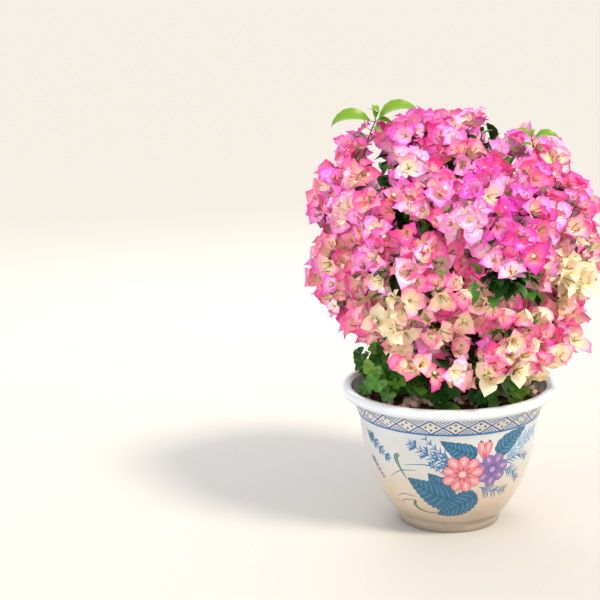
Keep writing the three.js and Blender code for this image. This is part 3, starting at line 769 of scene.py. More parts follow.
# %% Scatter chips and stones
CHIPS, CHIP_SIZES, CHIP_FLAT, CHIP_TONES = 1500, (2.5, 7.5), 0.42, [0, 1, 1, 2, 2, 3]
STONES, STONE_SIZES, STONE_FLAT, STONE_TONES = 190, (5.5, 10.5), 0.7, [3, 4, 4, 4, 5]
STONE_HEAP, HEAP_STONES, HEAP_SPREAD, HEAP_SIZES, HEAP_FLAT = (-67, -64), 22, (17, 14), (9, 13), 0.75
PINK_STONE = 4
SCATTER_AREA = 0.955
LAY_WIDTHS, LAY_TILT, LAY_PROUD = (0.45, 0.9), 0.5, 0.4


def turn_matrix(axis, angle):
    """The matrix that turns points about an axis."""
    return np.array(Matrix.Rotation(angle, 3, Vector(axis)))


def lay(heap, shape, where, turn, size, flat, tone):
    """One copy of a shape on the soil, lying flat, partly sunk in."""
    points, faces = shape
    stretch = np.array([1, chance.uniform(*LAY_WIDTHS), flat]) * size
    tilt = turn_matrix((math.cos(turn * 3), math.sin(turn * 3), 0), chance.uniform(0, LAY_TILT))
    laid = points * stretch @ (tilt @ turn_matrix((0, 0, 1), turn * 5)).T
    height = soil_height(math.hypot(*where)) + size * flat * LAY_PROUD
    heap.add_plain(laid + [*where, height], faces, tone)


def scatter(heap, shapes, count, sizes, flat, tones):
    """Copies of the shapes over the soil, evenly over its area."""
    for _ in range(count):
        out = edge_r * math.sqrt(chance.uniform(0.0, SCATTER_AREA))
        turn = chance.uniform(0, 2 * math.pi)
        where = (out * math.cos(turn), out * math.sin(turn))
        lay(heap, shapes[chance.integers(len(shapes))], where, turn, chance.uniform(*sizes), flat,
            tones[chance.integers(len(tones))])


scatter(litter, chip_shapes, CHIPS, CHIP_SIZES, CHIP_FLAT, CHIP_TONES)
stone_shapes = [rough_ball(2) for _ in range(STONE_KINDS)]
scatter(litter, stone_shapes, STONES, STONE_SIZES, STONE_FLAT, STONE_TONES)
for number in range(HEAP_STONES):
    where = tuple(STONE_HEAP + chance.normal(0, HEAP_SPREAD, 2))
    lay(litter, stone_shapes[number % STONE_KINDS], where, chance.uniform(0, 6),
        chance.uniform(*HEAP_SIZES), HEAP_FLAT, PINK_STONE)
print("chips and stones:", CHIPS + STONES + HEAP_STONES)

# %% Finish the soil
ground_materials = []
for name, colour in GROUND.items():
    made, tree, shader, place = start_material(name, colour, 0.9, **{"Specular IOR Level": 0.25})
    add_relief(tree, shader, place, grain_mm=1.4, depth_mm=0.4, strength=0.7)
    ground_materials.append(made)
chips = litter.become("soil_chips", ground_materials)
hand_over(chips)

humus, tree, shader, place = start_material("potting humus", "#3a281f", 0.95, **{"Specular IOR Level": 0.2})
crumbs = add_relief(tree, shader, place, grain_mm=2.2, depth_mm=1.2, strength=0.9, Detail=4.0)
shades = add_node(tree, "ShaderNodeValToRGB", links={"Fac": crumbs.outputs["Fac"]})
shades.color_ramp.elements[0].color = linear("#23170f")
shades.color_ramp.elements[1].color = linear("#6a4534")
tree.links.new(shades.outputs["Color"], shader.inputs["Base Color"])
soil.data.materials.append(humus)
hand_over(soil, ["soil"])
print("ground colours:", len(GROUND))

# %% [markdown]
# ## The plan of the bush
# The solids follow a rule, and the dressed bush follows the same one. The crown is a ball of foliage.
# Rings of masses share it, each round its own middle, and a point belongs to a mass if it lies within its
# reach and on its side of every neighbour. The numbers and the order of the random draws are the source's,
# so that each mass keeps its own space.

# %% Plan the masses
MARGIN = 0.6
POT_CLEAR = 3
CROWN = np.array([10.0, 0, 552])
CROWN_R = 300
MASS_JITTER, TURN_JITTER = 10, 7
CROWN_REACH = 1.34
LOW_WEIGHT = 1.12
SKIRT_RISE, BASAL_RISE = -0.3, 0.6
RINGS = [
    {"name": "top", "latitude": 66, "out": 192, "count": 3, "first": -58, "radius": 86,
     "trunk_z": (500, 560), "bough": True},
    {"name": "upper", "latitude": 29, "out": 206, "count": 6, "first": -60, "radius": 90,
     "trunk_z": (430, 505), "bough": True},
    {"name": "middle", "latitude": -5, "out": 200, "count": 7, "first": -64, "radius": 90,
     "trunk_z": (350, 425), "bough": True},
    {"name": "lower", "latitude": -36, "out": 192, "count": 6, "first": -60, "radius": 84,
     "trunk_z": (318, 342), "bough": False},
]
# Bearing, distance from the pot's axis, height, radius and the height where the stem leaves the trunk.
SKIRT = [(-104, 150, 366, 72, 300), (-58, 172, 352, 72, 312), (-12, 206, 352, 74, 304),
         (38, 180, 354, 70, 314), (88, 166, 358, 70, 300), (136, 172, 362, 70, 310)]
BASAL = [(-134, 144, 316, 72, 284), (-108, 134, 292, 52, 276), (-176, 158, 312, 56, 280),
         (-40, 136, 290, 46, 277), (84, 130, 292, 50, 278)]
FIRST_SEED = 101


def stream(seed):
    """A repeatable stream of numbers from 0 to 1, as in the source."""
    state = seed * 7919 + 13
    while True:
        state = state * 16807 % 2147483647
        yield state / 2147483647


def crown_mass(ring, i, draw):
    """One mass of a ring of the crown, set off a little by three draws."""
    latitude = math.radians(ring["latitude"] + TURN_JITTER * (next(draw) - 0.5))
    turn = math.radians(ring["first"] + i * 360 / ring["count"] + TURN_JITTER * (next(draw) - 0.5))
    away = np.array([math.cos(latitude) * math.cos(turn), math.cos(latitude) * math.sin(turn),
                     math.sin(latitude)])
    middle = CROWN + away * (ring["out"] + MASS_JITTER * (next(draw) - 0.5))
    low, high = ring["trunk_z"]
    trunk_z = low + (high - low) * ((i * 3) % ring["count"] + 0.5) / ring["count"]
    return {"ring": ring["name"], "number": i, "middle": middle, "away": away, "trunk_z": trunk_z,
            "radius": ring["radius"], "reach": ring["radius"] * CROWN_REACH, "bough": ring["bough"],
            "crown": True}


def low_mass(kind, i, place, rise):
    """A mass of the skirt or of the basal shoots, from its row in the plan."""
    bearing, out, z, radius, trunk_z = place
    turn = math.radians(bearing)
    middle = np.array([math.cos(turn) * out, math.sin(turn) * out, z])
    away = unit(np.array([math.cos(turn), math.sin(turn), rise]))
    return {"ring": kind, "number": i, "middle": middle, "away": away, "trunk_z": trunk_z,
            "radius": radius * LOW_WEIGHT, "reach": radius, "bough": False, "crown": False}


placing = stream(5)
masses = [crown_mass(ring, i, placing) for ring in RINGS for i in range(ring["count"])]
masses += [low_mass("skirt", i, place, SKIRT_RISE) for i, place in enumerate(SKIRT)]
masses += [low_mass("basal", i, place, BASAL_RISE) for i, place in enumerate(BASAL)]
MIDDLES = np.array([mass["middle"] for mass in masses])
RADII = np.array([mass["radius"] for mass in masses])
for number, mass in enumerate(masses):
    mass["seed"] = number + FIRST_SEED
    mass["apart"] = 2 * MARGIN * np.linalg.norm(MIDDLES - mass["middle"], axis=1)
    mass["node"] = f"mass_{mass['ring']}_{mass['number']}"
print("masses:", len(masses))

# %% Tell whether a point is in its mass's space
def clear_of_pot(point):
    """Whether a point is over the soil inside the pot, or above its lip."""
    out = math.hypot(point[0], point[1])
    over_soil = out < wall_radius(SOIL_EDGE_Z) - POT_WALL - POT_CLEAR and point[2] > SOIL_TOP_Z + POT_CLEAR
    return over_soil or point[2] > LIP_CENTRE[1] + LIP_ROLL_R + POT_CLEAR


def apart_from_others(point, mass, gap):
    """Whether a point lies on the mass's side of every neighbour, at least a gap from the border."""
    powers = ((MIDDLES - point) ** 2).sum(1) - RADII ** 2
    own = powers[mass["seed"] - FIRST_SEED]
    return bool(np.all(powers - own >= mass["apart"] * (1 + gap / MARGIN)))


def in_space(point, mass, spare=0.0):
    """Whether a point lies in the mass's own space, or so little outside, clear of the pot and the soil."""
    if np.linalg.norm(point - mass["middle"]) > mass["reach"] + spare:
        return False
    if mass["crown"] and np.linalg.norm(point - CROWN) > CROWN_R + spare:
        return False
    return apart_from_others(point, mass, -spare) and clear_of_pot(point)


print("masses whose middle is in their space:", sum(in_space(mass["middle"], mass) for mass in masses))

# %% [markdown]
# ## Trunk and boughs
# An old bougainvillea has a short, lobed trunk with grey-brown, fissured bark. The trunk is raised ring by
# ring along its lean, its root lobes pushed out, and each bough is a curve with a round bevel that tapers
# along it. A voxel remesh then grows them into one skin, so the forks are smooth, and two displace
# modifiers carve the bark: long clouds for the fissures and small ones for the pores.

# %% The lines of trunk, boughs and stems
TRUNK_FOOT_Z, TRUNK_TIP_Z = SOIL_TOP_Z + 0.3, 585
TRUNK_LEAN = [(4, 8), (13, 4), (6, -3), (10, 0)]
BOUGH_END = 0.62
LIMB_BEND, LIMB_RISE, LIMB_LEVEL = 0.34, 14, 0.6

trunk_heights = TRUNK_FOOT_Z + (TRUNK_TIP_Z - SOIL_TOP_Z) * np.linspace(0, 1, len(TRUNK_LEAN))
TRUNK_LINE = smooth_through(np.column_stack([TRUNK_LEAN, trunk_heights]), 12, mirrored=True)


def trunk_point(height):
    """The middle of the trunk at a height."""
    return np.array([np.interp(height, TRUNK_LINE[:, 2], TRUNK_LINE[:, k]) for k in (0, 1)] + [height])


def arc(start, bend, end, steps=16):
    """A curve from start to end that heads for bend on its way, as points."""
    t = np.linspace(0, 1, steps + 1)[:, None]
    return (1 - t) ** 2 * start + 2 * t * (1 - t) * bend + t ** 2 * end


def point_along(line, share):
    """The point at a share of a line's length."""
    lengths = np.concatenate([[0], np.cumsum(np.linalg.norm(np.diff(line, axis=0), axis=1))])
    return np.array([np.interp(share * lengths[-1], lengths, line[:, k]) for k in range(3)])


def limb_line(mass, end_share):
    """The limb's way from the trunk to the inner edge of its mass."""
    start = trunk_point(mass["trunk_z"])
    inward = start - mass["middle"]
    inward[2] *= LIMB_LEVEL
    end = mass["middle"] + unit(inward) * mass["radius"] * end_share
    bend = (start + end) / 2
    bend[2] = start[2] + max(LIMB_RISE, (end[2] - start[2]) * LIMB_BEND)
    return arc(start, bend, end)


def stem_line(mass):
    """The stem runs on from the bough's tip, or from the trunk, to the middle of the mass."""
    if not mass["bough"]:
        return limb_line(mass, 0)
    bough = limb_line(mass, BOUGH_END)
    ahead = unit(bough[-1] - bough[-2])
    start = bough[-1]
    return arc(start, start + ahead * np.linalg.norm(mass["middle"] - start) / 2, mass["middle"])


print("trunk line:", len(TRUNK_LINE), "points")

# %% Raise the trunk and the boughs
TRUNK_BASE_R, TRUNK_TIP_R, TAPER_POWER = 19, 6.5, 0.8
TRUNK_SIDES, TRUNK_STEPS = 40, 36
FLARE, FLARE_HEIGHT, FLARE_LOBES, LOBE_DEPTH = 0.75, 0.14, 5, 0.35
FLUTE_DEPTH, FLUTE_TWIST = 0.06, 5
BOUGH_BASE_R, BOUGH_TIP_R = 7.5, 4.4


def trunk_radius(share):
    """The trunk's radius at a share of its height, wider at its root."""
    taper = TRUNK_BASE_R + (TRUNK_TIP_R - TRUNK_BASE_R) * share ** TAPER_POWER
    return taper * (1 + FLARE * max(0, 1 - share / FLARE_HEIGHT) ** 2)


def limb_curve(name, line, base_r, tip_r):
    """A limb as a curve with a round bevel, thinner point by point."""
    curve = bpy.data.curves.new(name, "CURVE")
    curve.dimensions = "3D"
    curve.bevel_depth = 1 * MM
    curve.bevel_resolution = 3
    curve.use_fill_caps = True
    spline = curve.splines.new("POLY")
    spline.points.add(len(line) - 1)
    for point, place, share in zip(spline.points, line, np.linspace(0, 1, len(line))):
        point.co = (*(place * MM), 1)
        point.radius = base_r + (tip_r - base_r) * share
    limb = bpy.data.objects.new(name, curve)
    bpy.context.collection.objects.link(limb)
    return limb


shares = np.linspace(0, 1, TRUNK_STEPS + 1)
rings = [(trunk_radius(s), z, tuple(trunk_point(z)[:2]))
         for s, z in zip(shares, TRUNK_FOOT_Z + (TRUNK_TIP_Z - TRUNK_FOOT_Z) * shares)]
bark = raise_rings("trunk_and_boughs", TRUNK_SIDES, rings)
for corner in bark.data.vertices:
    share = (corner.co.z / MM - TRUNK_FOOT_Z) / (TRUNK_TIP_Z - TRUNK_FOOT_Z)
    middle = Vector(trunk_point(corner.co.z / MM)) * MM
    aside = corner.co - middle
    turn = FLARE_LOBES * math.atan2(aside.y, aside.x)
    root = FLARE * LOBE_DEPTH * max(0, 1 - share / FLARE_HEIGHT) ** 2 * math.cos(turn)
    flute = FLUTE_DEPTH * (1 - share) * math.cos(turn + FLUTE_TWIST * share)
    corner.co = middle + aside * (1 + root + flute)

bpy.ops.object.select_all(action="DESELECT")
for mass in masses:
    if mass["bough"]:
        name = f"bough_{mass['ring']}_{mass['number']}"
        limb_curve(name + "_line", limb_line(mass, BOUGH_END), BOUGH_BASE_R, BOUGH_TIP_R).select_set(True)
bpy.context.view_layer.objects.active = bpy.context.selected_objects[0]
bpy.ops.object.convert(target="MESH")
bark.select_set(True)
bpy.context.view_layer.objects.active = bark
bpy.ops.object.join()
print("limbs joined:", len(bark.data.polygons), "faces")

# %% Grow the bark
SKIN_VOXEL = 1.9
FISSURE_MM, FISSURE_DEPTH = 9, 1.5
PORE_MM, PORE_DEPTH = 3, 0.8


def apply_modifier(piece, kind, **settings):
    """Adds a modifier to the active piece and applies it."""
    modifier = piece.modifiers.new(kind.lower(), kind)
    for name, value in settings.items():
        setattr(modifier, name, value)
    bpy.ops.object.modifier_apply(modifier=modifier.name)


def clouds_of(size_mm, kind="CLOUDS"):
    """A texture whose lumps are about that wide, for a displace modifier."""
    texture = bpy.data.textures.new(f"bark clouds {size_mm} mm", kind)
    texture.noise_scale = size_mm * MM
    return texture


apply_modifier(bark, "REMESH", mode="VOXEL", voxel_size=SKIN_VOXEL * MM)
apply_modifier(bark, "SMOOTH", factor=0.5, iterations=3)
for texture, depth in ((clouds_of(FISSURE_MM), FISSURE_DEPTH), (clouds_of(PORE_MM, "STUCCI"), PORE_DEPTH)):
    apply_modifier(bark, "DISPLACE", texture=texture, strength=depth * MM, mid_level=0.5)
bpy.ops.object.shade_smooth()
print("bark faces:", len(bark.data.polygons))

# %% Finish the bark
bark_skin, tree, shader, place = start_material(
    "bougainvillea bark", "#7a6450", 0.9, **{"Specular IOR Level": 0.2},
)
stretched = add_node(tree, "ShaderNodeMapping", inputs={"Scale": (1, 1, 0.3)}, links={"Vector": place})
fissures = add_relief(tree, shader, stretched.outputs["Vector"], grain_mm=3.2, depth_mm=0.9, strength=0.9,
                      Detail=5.0)
tones = add_node(tree, "ShaderNodeValToRGB", links={"Fac": fissures.outputs["Fac"]})
tones.color_ramp.elements[0].position = 0.3
tones.color_ramp.elements[1].position = 0.7
tones.color_ramp.elements[0].color = linear("#3f2f22")
tones.color_ramp.elements[1].color = linear("#9a856c")
tree.links.new(tones.outputs["Color"], shader.inputs["Base Color"])
bark.data.materials.append(bark_skin)
boughs = [f"bough_{mass['ring']}_{mass['number']}" for mass in masses if mass["bough"]]
hand_over(bark, ["trunk", *boughs])
print("boughs:", len(boughs))

# %% [markdown]
# ## Blades: bracts and leaves
# What looks like a bougainvillea's petal is a bract, a papery leaf. Bracts and leaves are the same thing
# to model: a small grid whose rows are scaled to the blade's width, moved along its middle line and lifted
# at the edges. It is modelled once for each kind and then copied. Every face remembers its row and column,
# because that is how the colours are dealt later: a bract is cream at its base and pinkest at its rim.

# %% Model a blade
BRACT_COLUMNS, LEAF_COLUMNS = 6, 4
EDGE_CURVE, THINNEST = 1.6, 1e-4


def place_corners(numbers, blade, scale=(1, 1, 1), about=(0, 0, 0), shift=(0, 0, 0)):
    """In edit mode, scales the corners with these numbers about a point and moves them."""
    mesh = bmesh.from_edit_mesh(blade.data)
    mesh.verts.ensure_lookup_table()
    bpy.ops.mesh.select_all(action="DESELECT")
    for number in numbers:
        mesh.verts[number].select = True
    mesh.select_flush_mode()
    bpy.ops.transform.resize(value=scale, center_override=about)
    bpy.ops.transform.translate(value=shift)


def model_blade(half_widths, headings, length, lift, columns=LEAF_COLUMNS, ruffle=0.0, skew=0.0):
    """A blade as points, faces and steps. It leaves the origin along +Z, and leans out towards +Y by the
    headings in degrees. Its edges are lifted by a share of their half width, and a ruffle waves them."""
    rows = len(half_widths) - 1
    bpy.ops.object.select_all(action="DESELECT")
    bpy.ops.mesh.primitive_grid_add(x_subdivisions=columns, y_subdivisions=rows, size=2)
    blade = bpy.context.object
    for number, face in enumerate(blade.data.polygons):
        face.material_index = number
    bpy.ops.object.mode_set(mode="EDIT")
    middle = np.array([0.0, 0.0])
    for row, half_width in enumerate(half_widths):
        heading = math.radians(np.interp(row / rows, np.linspace(0, 1, len(headings)), headings))
        ahead = np.array([math.sin(heading), math.cos(heading)])
        inward = np.array([-math.cos(heading), math.sin(heading)])
        if row:
            middle = middle + ahead * length / rows
        first = row * (columns + 1)
        flat_y = -1 + 2 * row / rows
        place_corners(range(first, first + columns + 1), blade, (max(half_width, THINNEST), 1, 1),
                      (0, flat_y, 0), (0, middle[0] - flat_y, middle[1]))
        wave = ruffle * (1 if row % 2 else -1) * half_width
        for column in range(columns + 1):
            across = 2 * column / columns - 1
            raised = (lift * half_width + wave) * abs(across) ** EDGE_CURVE + skew * half_width * across
            place_corners([first + column], blade, shift=(0, *(inward * raised)))
    bpy.ops.mesh.select_all(action="SELECT")
    bpy.ops.mesh.remove_doubles(threshold=0.01)
    bpy.ops.object.mode_set(mode="OBJECT")
    points = np.array([corner.co[:] for corner in blade.data.vertices])
    faces = [tuple(face.vertices) for face in blade.data.polygons]
    steps = np.array([face.material_index for face in blade.data.polygons])
    bpy.data.objects.remove(blade)
    return points, faces, steps


print("a bract has", BRACT_COLUMNS, "columns, a leaf", LEAF_COLUMNS)

# %% Model the bracts and the leaves
BRACT_LENGTH = 44
BRACT_WIDTHS = [2.0, 9.4, 14.8, 17.4, 17.0, 13.4, 5.6, 0.0]
BRACT_HEADINGS = {"closed": (14, 24, 36, 70), "half": (26, 42, 58, 90), "open": (38, 58, 76, 104)}
bracts = {
    name: model_blade(BRACT_WIDTHS, headings, BRACT_LENGTH, lift=0.34, columns=BRACT_COLUMNS, ruffle=0.13,
                      skew=0.12)
    for name, headings in BRACT_HEADINGS.items()
}
crown_leaf = model_blade([1.0, 7.5, 12.0, 12.4, 8.4, 0.0], (58, 74, 92, 112), length=46, lift=0.28)
basal_leaf = model_blade([1.2, 12.0, 17.5, 18.0, 12.5, 0.0], (60, 74, 88, 104), length=42, lift=0.16,
                         ruffle=0.04)
shoot_leaf = model_blade([1.2, 8.5, 13.5, 15.5, 14.5, 11.0, 6.0, 0.0], (40, 66, 100, 138, 165), length=98,
                         lift=0.26)
print("bract:", len(bracts["half"][1]), "faces, leaf:", len(crown_leaf[1]), "faces")

# %% Model a lobed leaf
LOBES, LOBE_STEPS, LOBED_R = 5, 4, 21
NOTCH, LOBE_SWELL, LOBE_CREASE = 0.35, 0.24, 1.6
LOBED_RINGS = ((0.5, 0.6), (1.0, 3.2))
LOBED_SHARE, LOBED_AHEAD, LOBED_HEART = 0.9, 0.55, 0.5


def lobed_leaf():
    """A round leaf with five shallow lobes and a notch at its stalk, leaving the origin towards +Y."""
    spread = np.linspace(NOTCH, 2 * math.pi - NOTCH, LOBES * LOBE_STEPS + 1)
    rims = []
    for share, rise in LOBED_RINGS:
        wave = 1 + LOBE_SWELL * share * np.abs(np.sin(np.linspace(0, LOBES * math.pi, len(spread))))
        radius = LOBED_R * LOBED_SHARE * share * wave
        crease = rise + LOBE_CREASE * share * np.cos(np.linspace(0, LOBES * 2 * math.pi, len(spread)))
        across, ahead = -np.sin(spread) * radius, LOBED_R * LOBED_AHEAD - np.cos(spread) * radius
        rims.append(np.column_stack([across, ahead, crease]))
    width = len(spread)
    points = np.vstack([rims[0], rims[1], [[0, LOBED_R * LOBED_HEART, 0]]])
    fan = [(k, k + 1, 2 * width) for k in range(width - 1)]
    return points, fan + [face[::-1] for face in lattice_faces(1, width - 1)], None


round_leaf = lobed_leaf()
print("lobed leaf:", len(round_leaf[1]), "faces")

# %% [markdown]
# ## The true flowers
# Three bracts stand round three slender tubes, which are the true flowers. Most are closed and brownish,
# and here and there one has opened into a small cream star.

# %% Model a tube and a star
TUBE_LENGTH, TUBE_R, TUBE_SIDES = 24, 0.9, 3
TUBE_LEAN = [(0.8, 0), (2.6, 0.36), (5.2, 0.72), (6.6, 1)]
TUBE_SWELL = (0.8, 1, 0.85, 1.5)
ASKEW, TUBE_CAP = (0.31, 0.17, 0.93), 0.5
STAR_R, STAR_POINTS, STAR_NOTCH = 4.6, 5, 0.62
STAR_MIDDLE_Z, STAR_NOTCH_Z, STAR_TIP_Z = -0.6, 0.2, 0.7


def tube_along(line, radii, sides):
    """A tube along a line of points, closed to a point at its far end, as points and faces."""
    line = np.array(line, float)
    ahead = np.gradient(line, axis=0)
    side = np.cross(ahead[0], ASKEW)
    points = []
    for middle, heading, radius in zip(line, ahead, radii):
        heading = unit(heading)
        side = unit(side - heading * (side @ heading))
        other = np.cross(heading, side)
        for k in range(sides):
            turn = 2 * math.pi * k / sides
            points.append(middle + (side * math.cos(turn) + other * math.sin(turn)) * radius)
    faces = lattice_faces(len(line) - 1, sides, closed=True)
    points.append(line[-1] + unit(ahead[-1]) * radii[-1] * TUBE_CAP)
    last = len(points) - 1
    faces += [(last - sides + k, last - sides + (k + 1) % sides, last) for k in range(sides)]
    return np.array(points), faces


def star():
    """A five-lobed star, a little cupped, facing +Z."""
    points = [(0, 0, STAR_MIDDLE_Z)]
    for k in range(STAR_POINTS * 2):
        out = STAR_R * (1 if k % 2 else STAR_NOTCH)
        turn = math.pi * k / STAR_POINTS
        points.append((out * math.cos(turn), out * math.sin(turn), STAR_TIP_Z if k % 2 else STAR_NOTCH_Z))
    faces = [(0, k + 1, (k + 1) % (STAR_POINTS * 2) + 1) for k in range(STAR_POINTS * 2)]
    return np.array(points), faces


tube_line = np.array([(0, aside, share * TUBE_LENGTH) for aside, share in TUBE_LEAN])
flower_tube = tube_along(tube_line, [TUBE_R * swell for swell in TUBE_SWELL], TUBE_SIDES)
flower_star = star()
print("tube:", len(flower_tube[1]), "faces, star:", len(flower_star[1]), "faces")

# %% [markdown]
# ## Growing the bush
# Each mass grows by the source's rule, carried to finer twigs. Evenly spread directions are tried one after
# another, and along each a spray goes as far out as it fits in the mass's space, clear of the sprays that
# are there. Its twig springs from the nearest twig that can bear it, or else from the stem. The crown is no
# plain ball: its edge is uneven, a tuft or two stand out of it, hollows part its lobes, and a few gaps stay
# open to the sky, so the places for sprays leave those out.

# %% Where blossoms may be
EDGE_SHARE, EDGE_MOST, FLAT_TOP = 0.965, 0.98, 0.14
UNEVEN, COARSE_WAVE, FINE_WAVE = 0.17, 2.6, 6
LOWEST_TIP, LOW_REACH = 306, 316
EYE = np.array(CAMERA_PLACE) / MM
# The middle of a hollow or a gap with its radius, and the way of a tuft with how far it stands out.
HOLLOWS = [
    ((-143, -80, 762), 40), ((-129, -143, 737), 40), ((-151, -160, 702), 34), ((-86, -234, 651), 20),
    ((-36, -251, 646), 19), ((-201, -168, 587), 30), ((-185, -189, 568), 24), ((27, -270, 583), 34),
    ((60, -268, 550), 24), ((150, -233, 536), 34), ((183, -203, 497), 30), ((212, -160, 464), 24),
    ((-29, -266, 509), 24), ((-6, -229, 405), 32), ((25, -211, 382), 20), ((85, -239, 446), 24),
    ((113, -249, 516), 22), ((177, -179, 670), 24), ((-101, -248, 561), 20), ((-140, -222, 503), 24),
]
SKY_GAPS = [((-129, -143, 737), 26), ((-143, -80, 762), 26), ((77, -113, 790), 26), ((118, -158, 745), 24),
            ((105, -40, 804), 26)]
TUFTS = [((0.29, -0.12, 0.95), 24), ((-0.76, -0.2, 0.62), 64), ((-0.95, -0.25, 0.1), 8)]
TUFT_SPREAD = 0.04


def crown_edge(way):
    """How far the blossoms reach from the crown's middle along a way: flatter on top, and uneven."""
    uneven = noise.noise(Vector(way) * COARSE_WAVE) + 0.5 * noise.noise(Vector(way) * FINE_WAVE)
    tuft = max(extra * max(0.0, 1 - (1 - way @ unit(np.array(middle))) / TUFT_SPREAD)
               for middle, extra in TUFTS)
    share = EDGE_SHARE - FLAT_TOP * max(0.0, way[2]) ** 3 + UNEVEN * uneven
    return CROWN_R * min(EDGE_MOST, share) + tuft


def in_crown(point, mass):
    """Whether a blossom's tip may be here: a crown's tips keep to its uneven edge, low ones stay up."""
    if not mass["crown"]:
        return point[2] > LOWEST_TIP and np.linalg.norm(point - CROWN) < LOW_REACH
    out = point - CROWN
    reach = np.linalg.norm(out)
    return reach < crown_edge(out / reach)


def in_hollow(point):
    """Whether a point is in a hollow between lobes, or in a gap that shows the sky to the camera."""
    if any(math.dist(point, middle) < radius for middle, radius in HOLLOWS):
        return True
    sight = point - EYE
    for middle, radius in SKY_GAPS:
        ahead = unit(np.array(middle) - EYE)
        if np.linalg.norm(sight - ahead * (sight @ ahead)) < radius:
            return True
    return False


print("hollows:", len(HOLLOWS), "gaps to the sky:", len(SKY_GAPS), "tufts:", len(TUFTS))

# %% Where a twig springs from
FIRST_TWIG, FIRST_TWIG_LONG, LAST_TWIG, TWIG_PLACES = 0.5, 0.75, 0.96, 5
HOST_REACH, HOST_BEARS = 62, 3
TWIG_BEND, TWIG_STEPS, TWIG_FORK = 0.45, 4, 0.5


def stem_spot(mass, i):
    """Where the next main twig leaves the stem."""
    first = FIRST_TWIG if mass["bough"] else FIRST_TWIG_LONG
    share = first + (LAST_TWIG - first) * (i * 2 % TWIG_PLACES) / (TWIG_PLACES - 1)
    return point_along(mass["stem"], share)


def root_for(mass, place, sprays):
    """Where the next twig springs from: the middle of the nearest main twig, or the stem."""
    hosts = [s for s in sprays if s["main"] and s["bears"] < HOST_BEARS]
    if hosts:
        nearest = min(hosts, key=lambda s: np.linalg.norm(s["fork"] - place))
        if np.linalg.norm(nearest["fork"] - place) < HOST_REACH:
            nearest["bears"] += 1
            return nearest["fork"], False
    return stem_spot(mass, len(sprays)), True


def grow_twig(mass, spray, sprays):
    """The spray's twig: it leaves its root and bends round to the way that the spray faces."""
    root, main = root_for(mass, spray["place"], sprays)
    reach = np.linalg.norm(spray["place"] - root)
    bend = spray["place"] - spray["facing"] * reach * TWIG_BEND
    line = arc(root, bend, spray["place"], TWIG_STEPS)
    spray.update(line=line, main=main, bears=0, fork=point_along(line, TWIG_FORK))


print("a main twig bears up to", HOST_BEARS, "others")

# %% Find places for sprays
SPRAY_TRIES = 240
OUTER_SHARE, INNER_SHARE, SHARE_STEP = 0.98, 0.2, 0.04
SPRAY_DEPTH = {"top": 42, "upper": 42, "middle": 42, "lower": 32, "skirt": 20, "basal": 20}
SPRAY_GAP = {"top": 44, "upper": 44, "middle": 43, "lower": 43, "skirt": 38, "basal": 34}
OUTWARD, TILT_MIDDLES, TILT = 0.7, (0.5, 0.5, 0.3), 0.6
BACK_LIMIT = -0.3
LOBE_GAP = 13
GOLDEN_TURN = math.pi * (3 - math.sqrt(5))


def spread_direction(i, count):
    """Evenly spread directions on a ball."""
    height = 1 - 2 * (i + 0.5) / count
    flat = math.sqrt(1 - height * height)
    return np.array([flat * math.cos(i * GOLDEN_TURN), flat * math.sin(i * GOLDEN_TURN), height])


def find_spray(mass, way, draw, sprays):
    """The farthest place along a way where a spray still fits, or nothing."""
    spin = next(draw) * 2 * math.pi
    tilt = np.array([next(draw) - middle for middle in TILT_MIDDLES]) * TILT
    facing = unit(way + mass["away"] * OUTWARD + tilt)
    if way @ mass["away"] < BACK_LIMIT:
        return None
    for share in np.arange(OUTER_SHARE, INNER_SHARE, -SHARE_STEP):
        place = mass["middle"] + way * mass["reach"] * share
        if any(np.linalg.norm(place - other["place"]) < SPRAY_GAP[mass["ring"]] for other in sprays):
            continue
        outer = place + facing * SPRAY_DEPTH[mass["ring"]]
        fits = in_space(place, mass) and apart_from_others(outer, mass, LOBE_GAP) and in_crown(outer, mass)
        if fits and not in_hollow(outer):
            return {"place": place, "facing": facing, "spin": spin}
    return None


def grow_sprays(mass):
    """All the sprays of a mass, each with its twig."""
    draw = stream(mass["seed"])
    sprays = []
    for i in range(SPRAY_TRIES):
        spray = find_spray(mass, spread_direction(i, SPRAY_TRIES), draw, sprays)
        if spray:
            grow_twig(mass, spray, sprays)
            sprays.append(spray)
    return sprays


for mass in masses:
    mass["stem"] = stem_line(mass)
    mass["sprays"] = grow_sprays(mass)
print("sprays:", {mass["node"]: len(mass["sprays"]) for mass in masses})

# %% [markdown]
# ## Dealing out the colours
# The bracts run from greenish cream to magenta, and the export keeps plain base colours exactly, so the
# colours are a row of plain materials dealt out face by face. A kind of blossom is a list of tones from the
# base of a bract to its tip, and the faces at its edges take the next tone, which gives the pink rims. The
# rosy kinds grow everywhere and the lilac ones mostly high up. High sprays are pinker and low ones
# creamier, with drifts of magenta and cream as in the photograph.

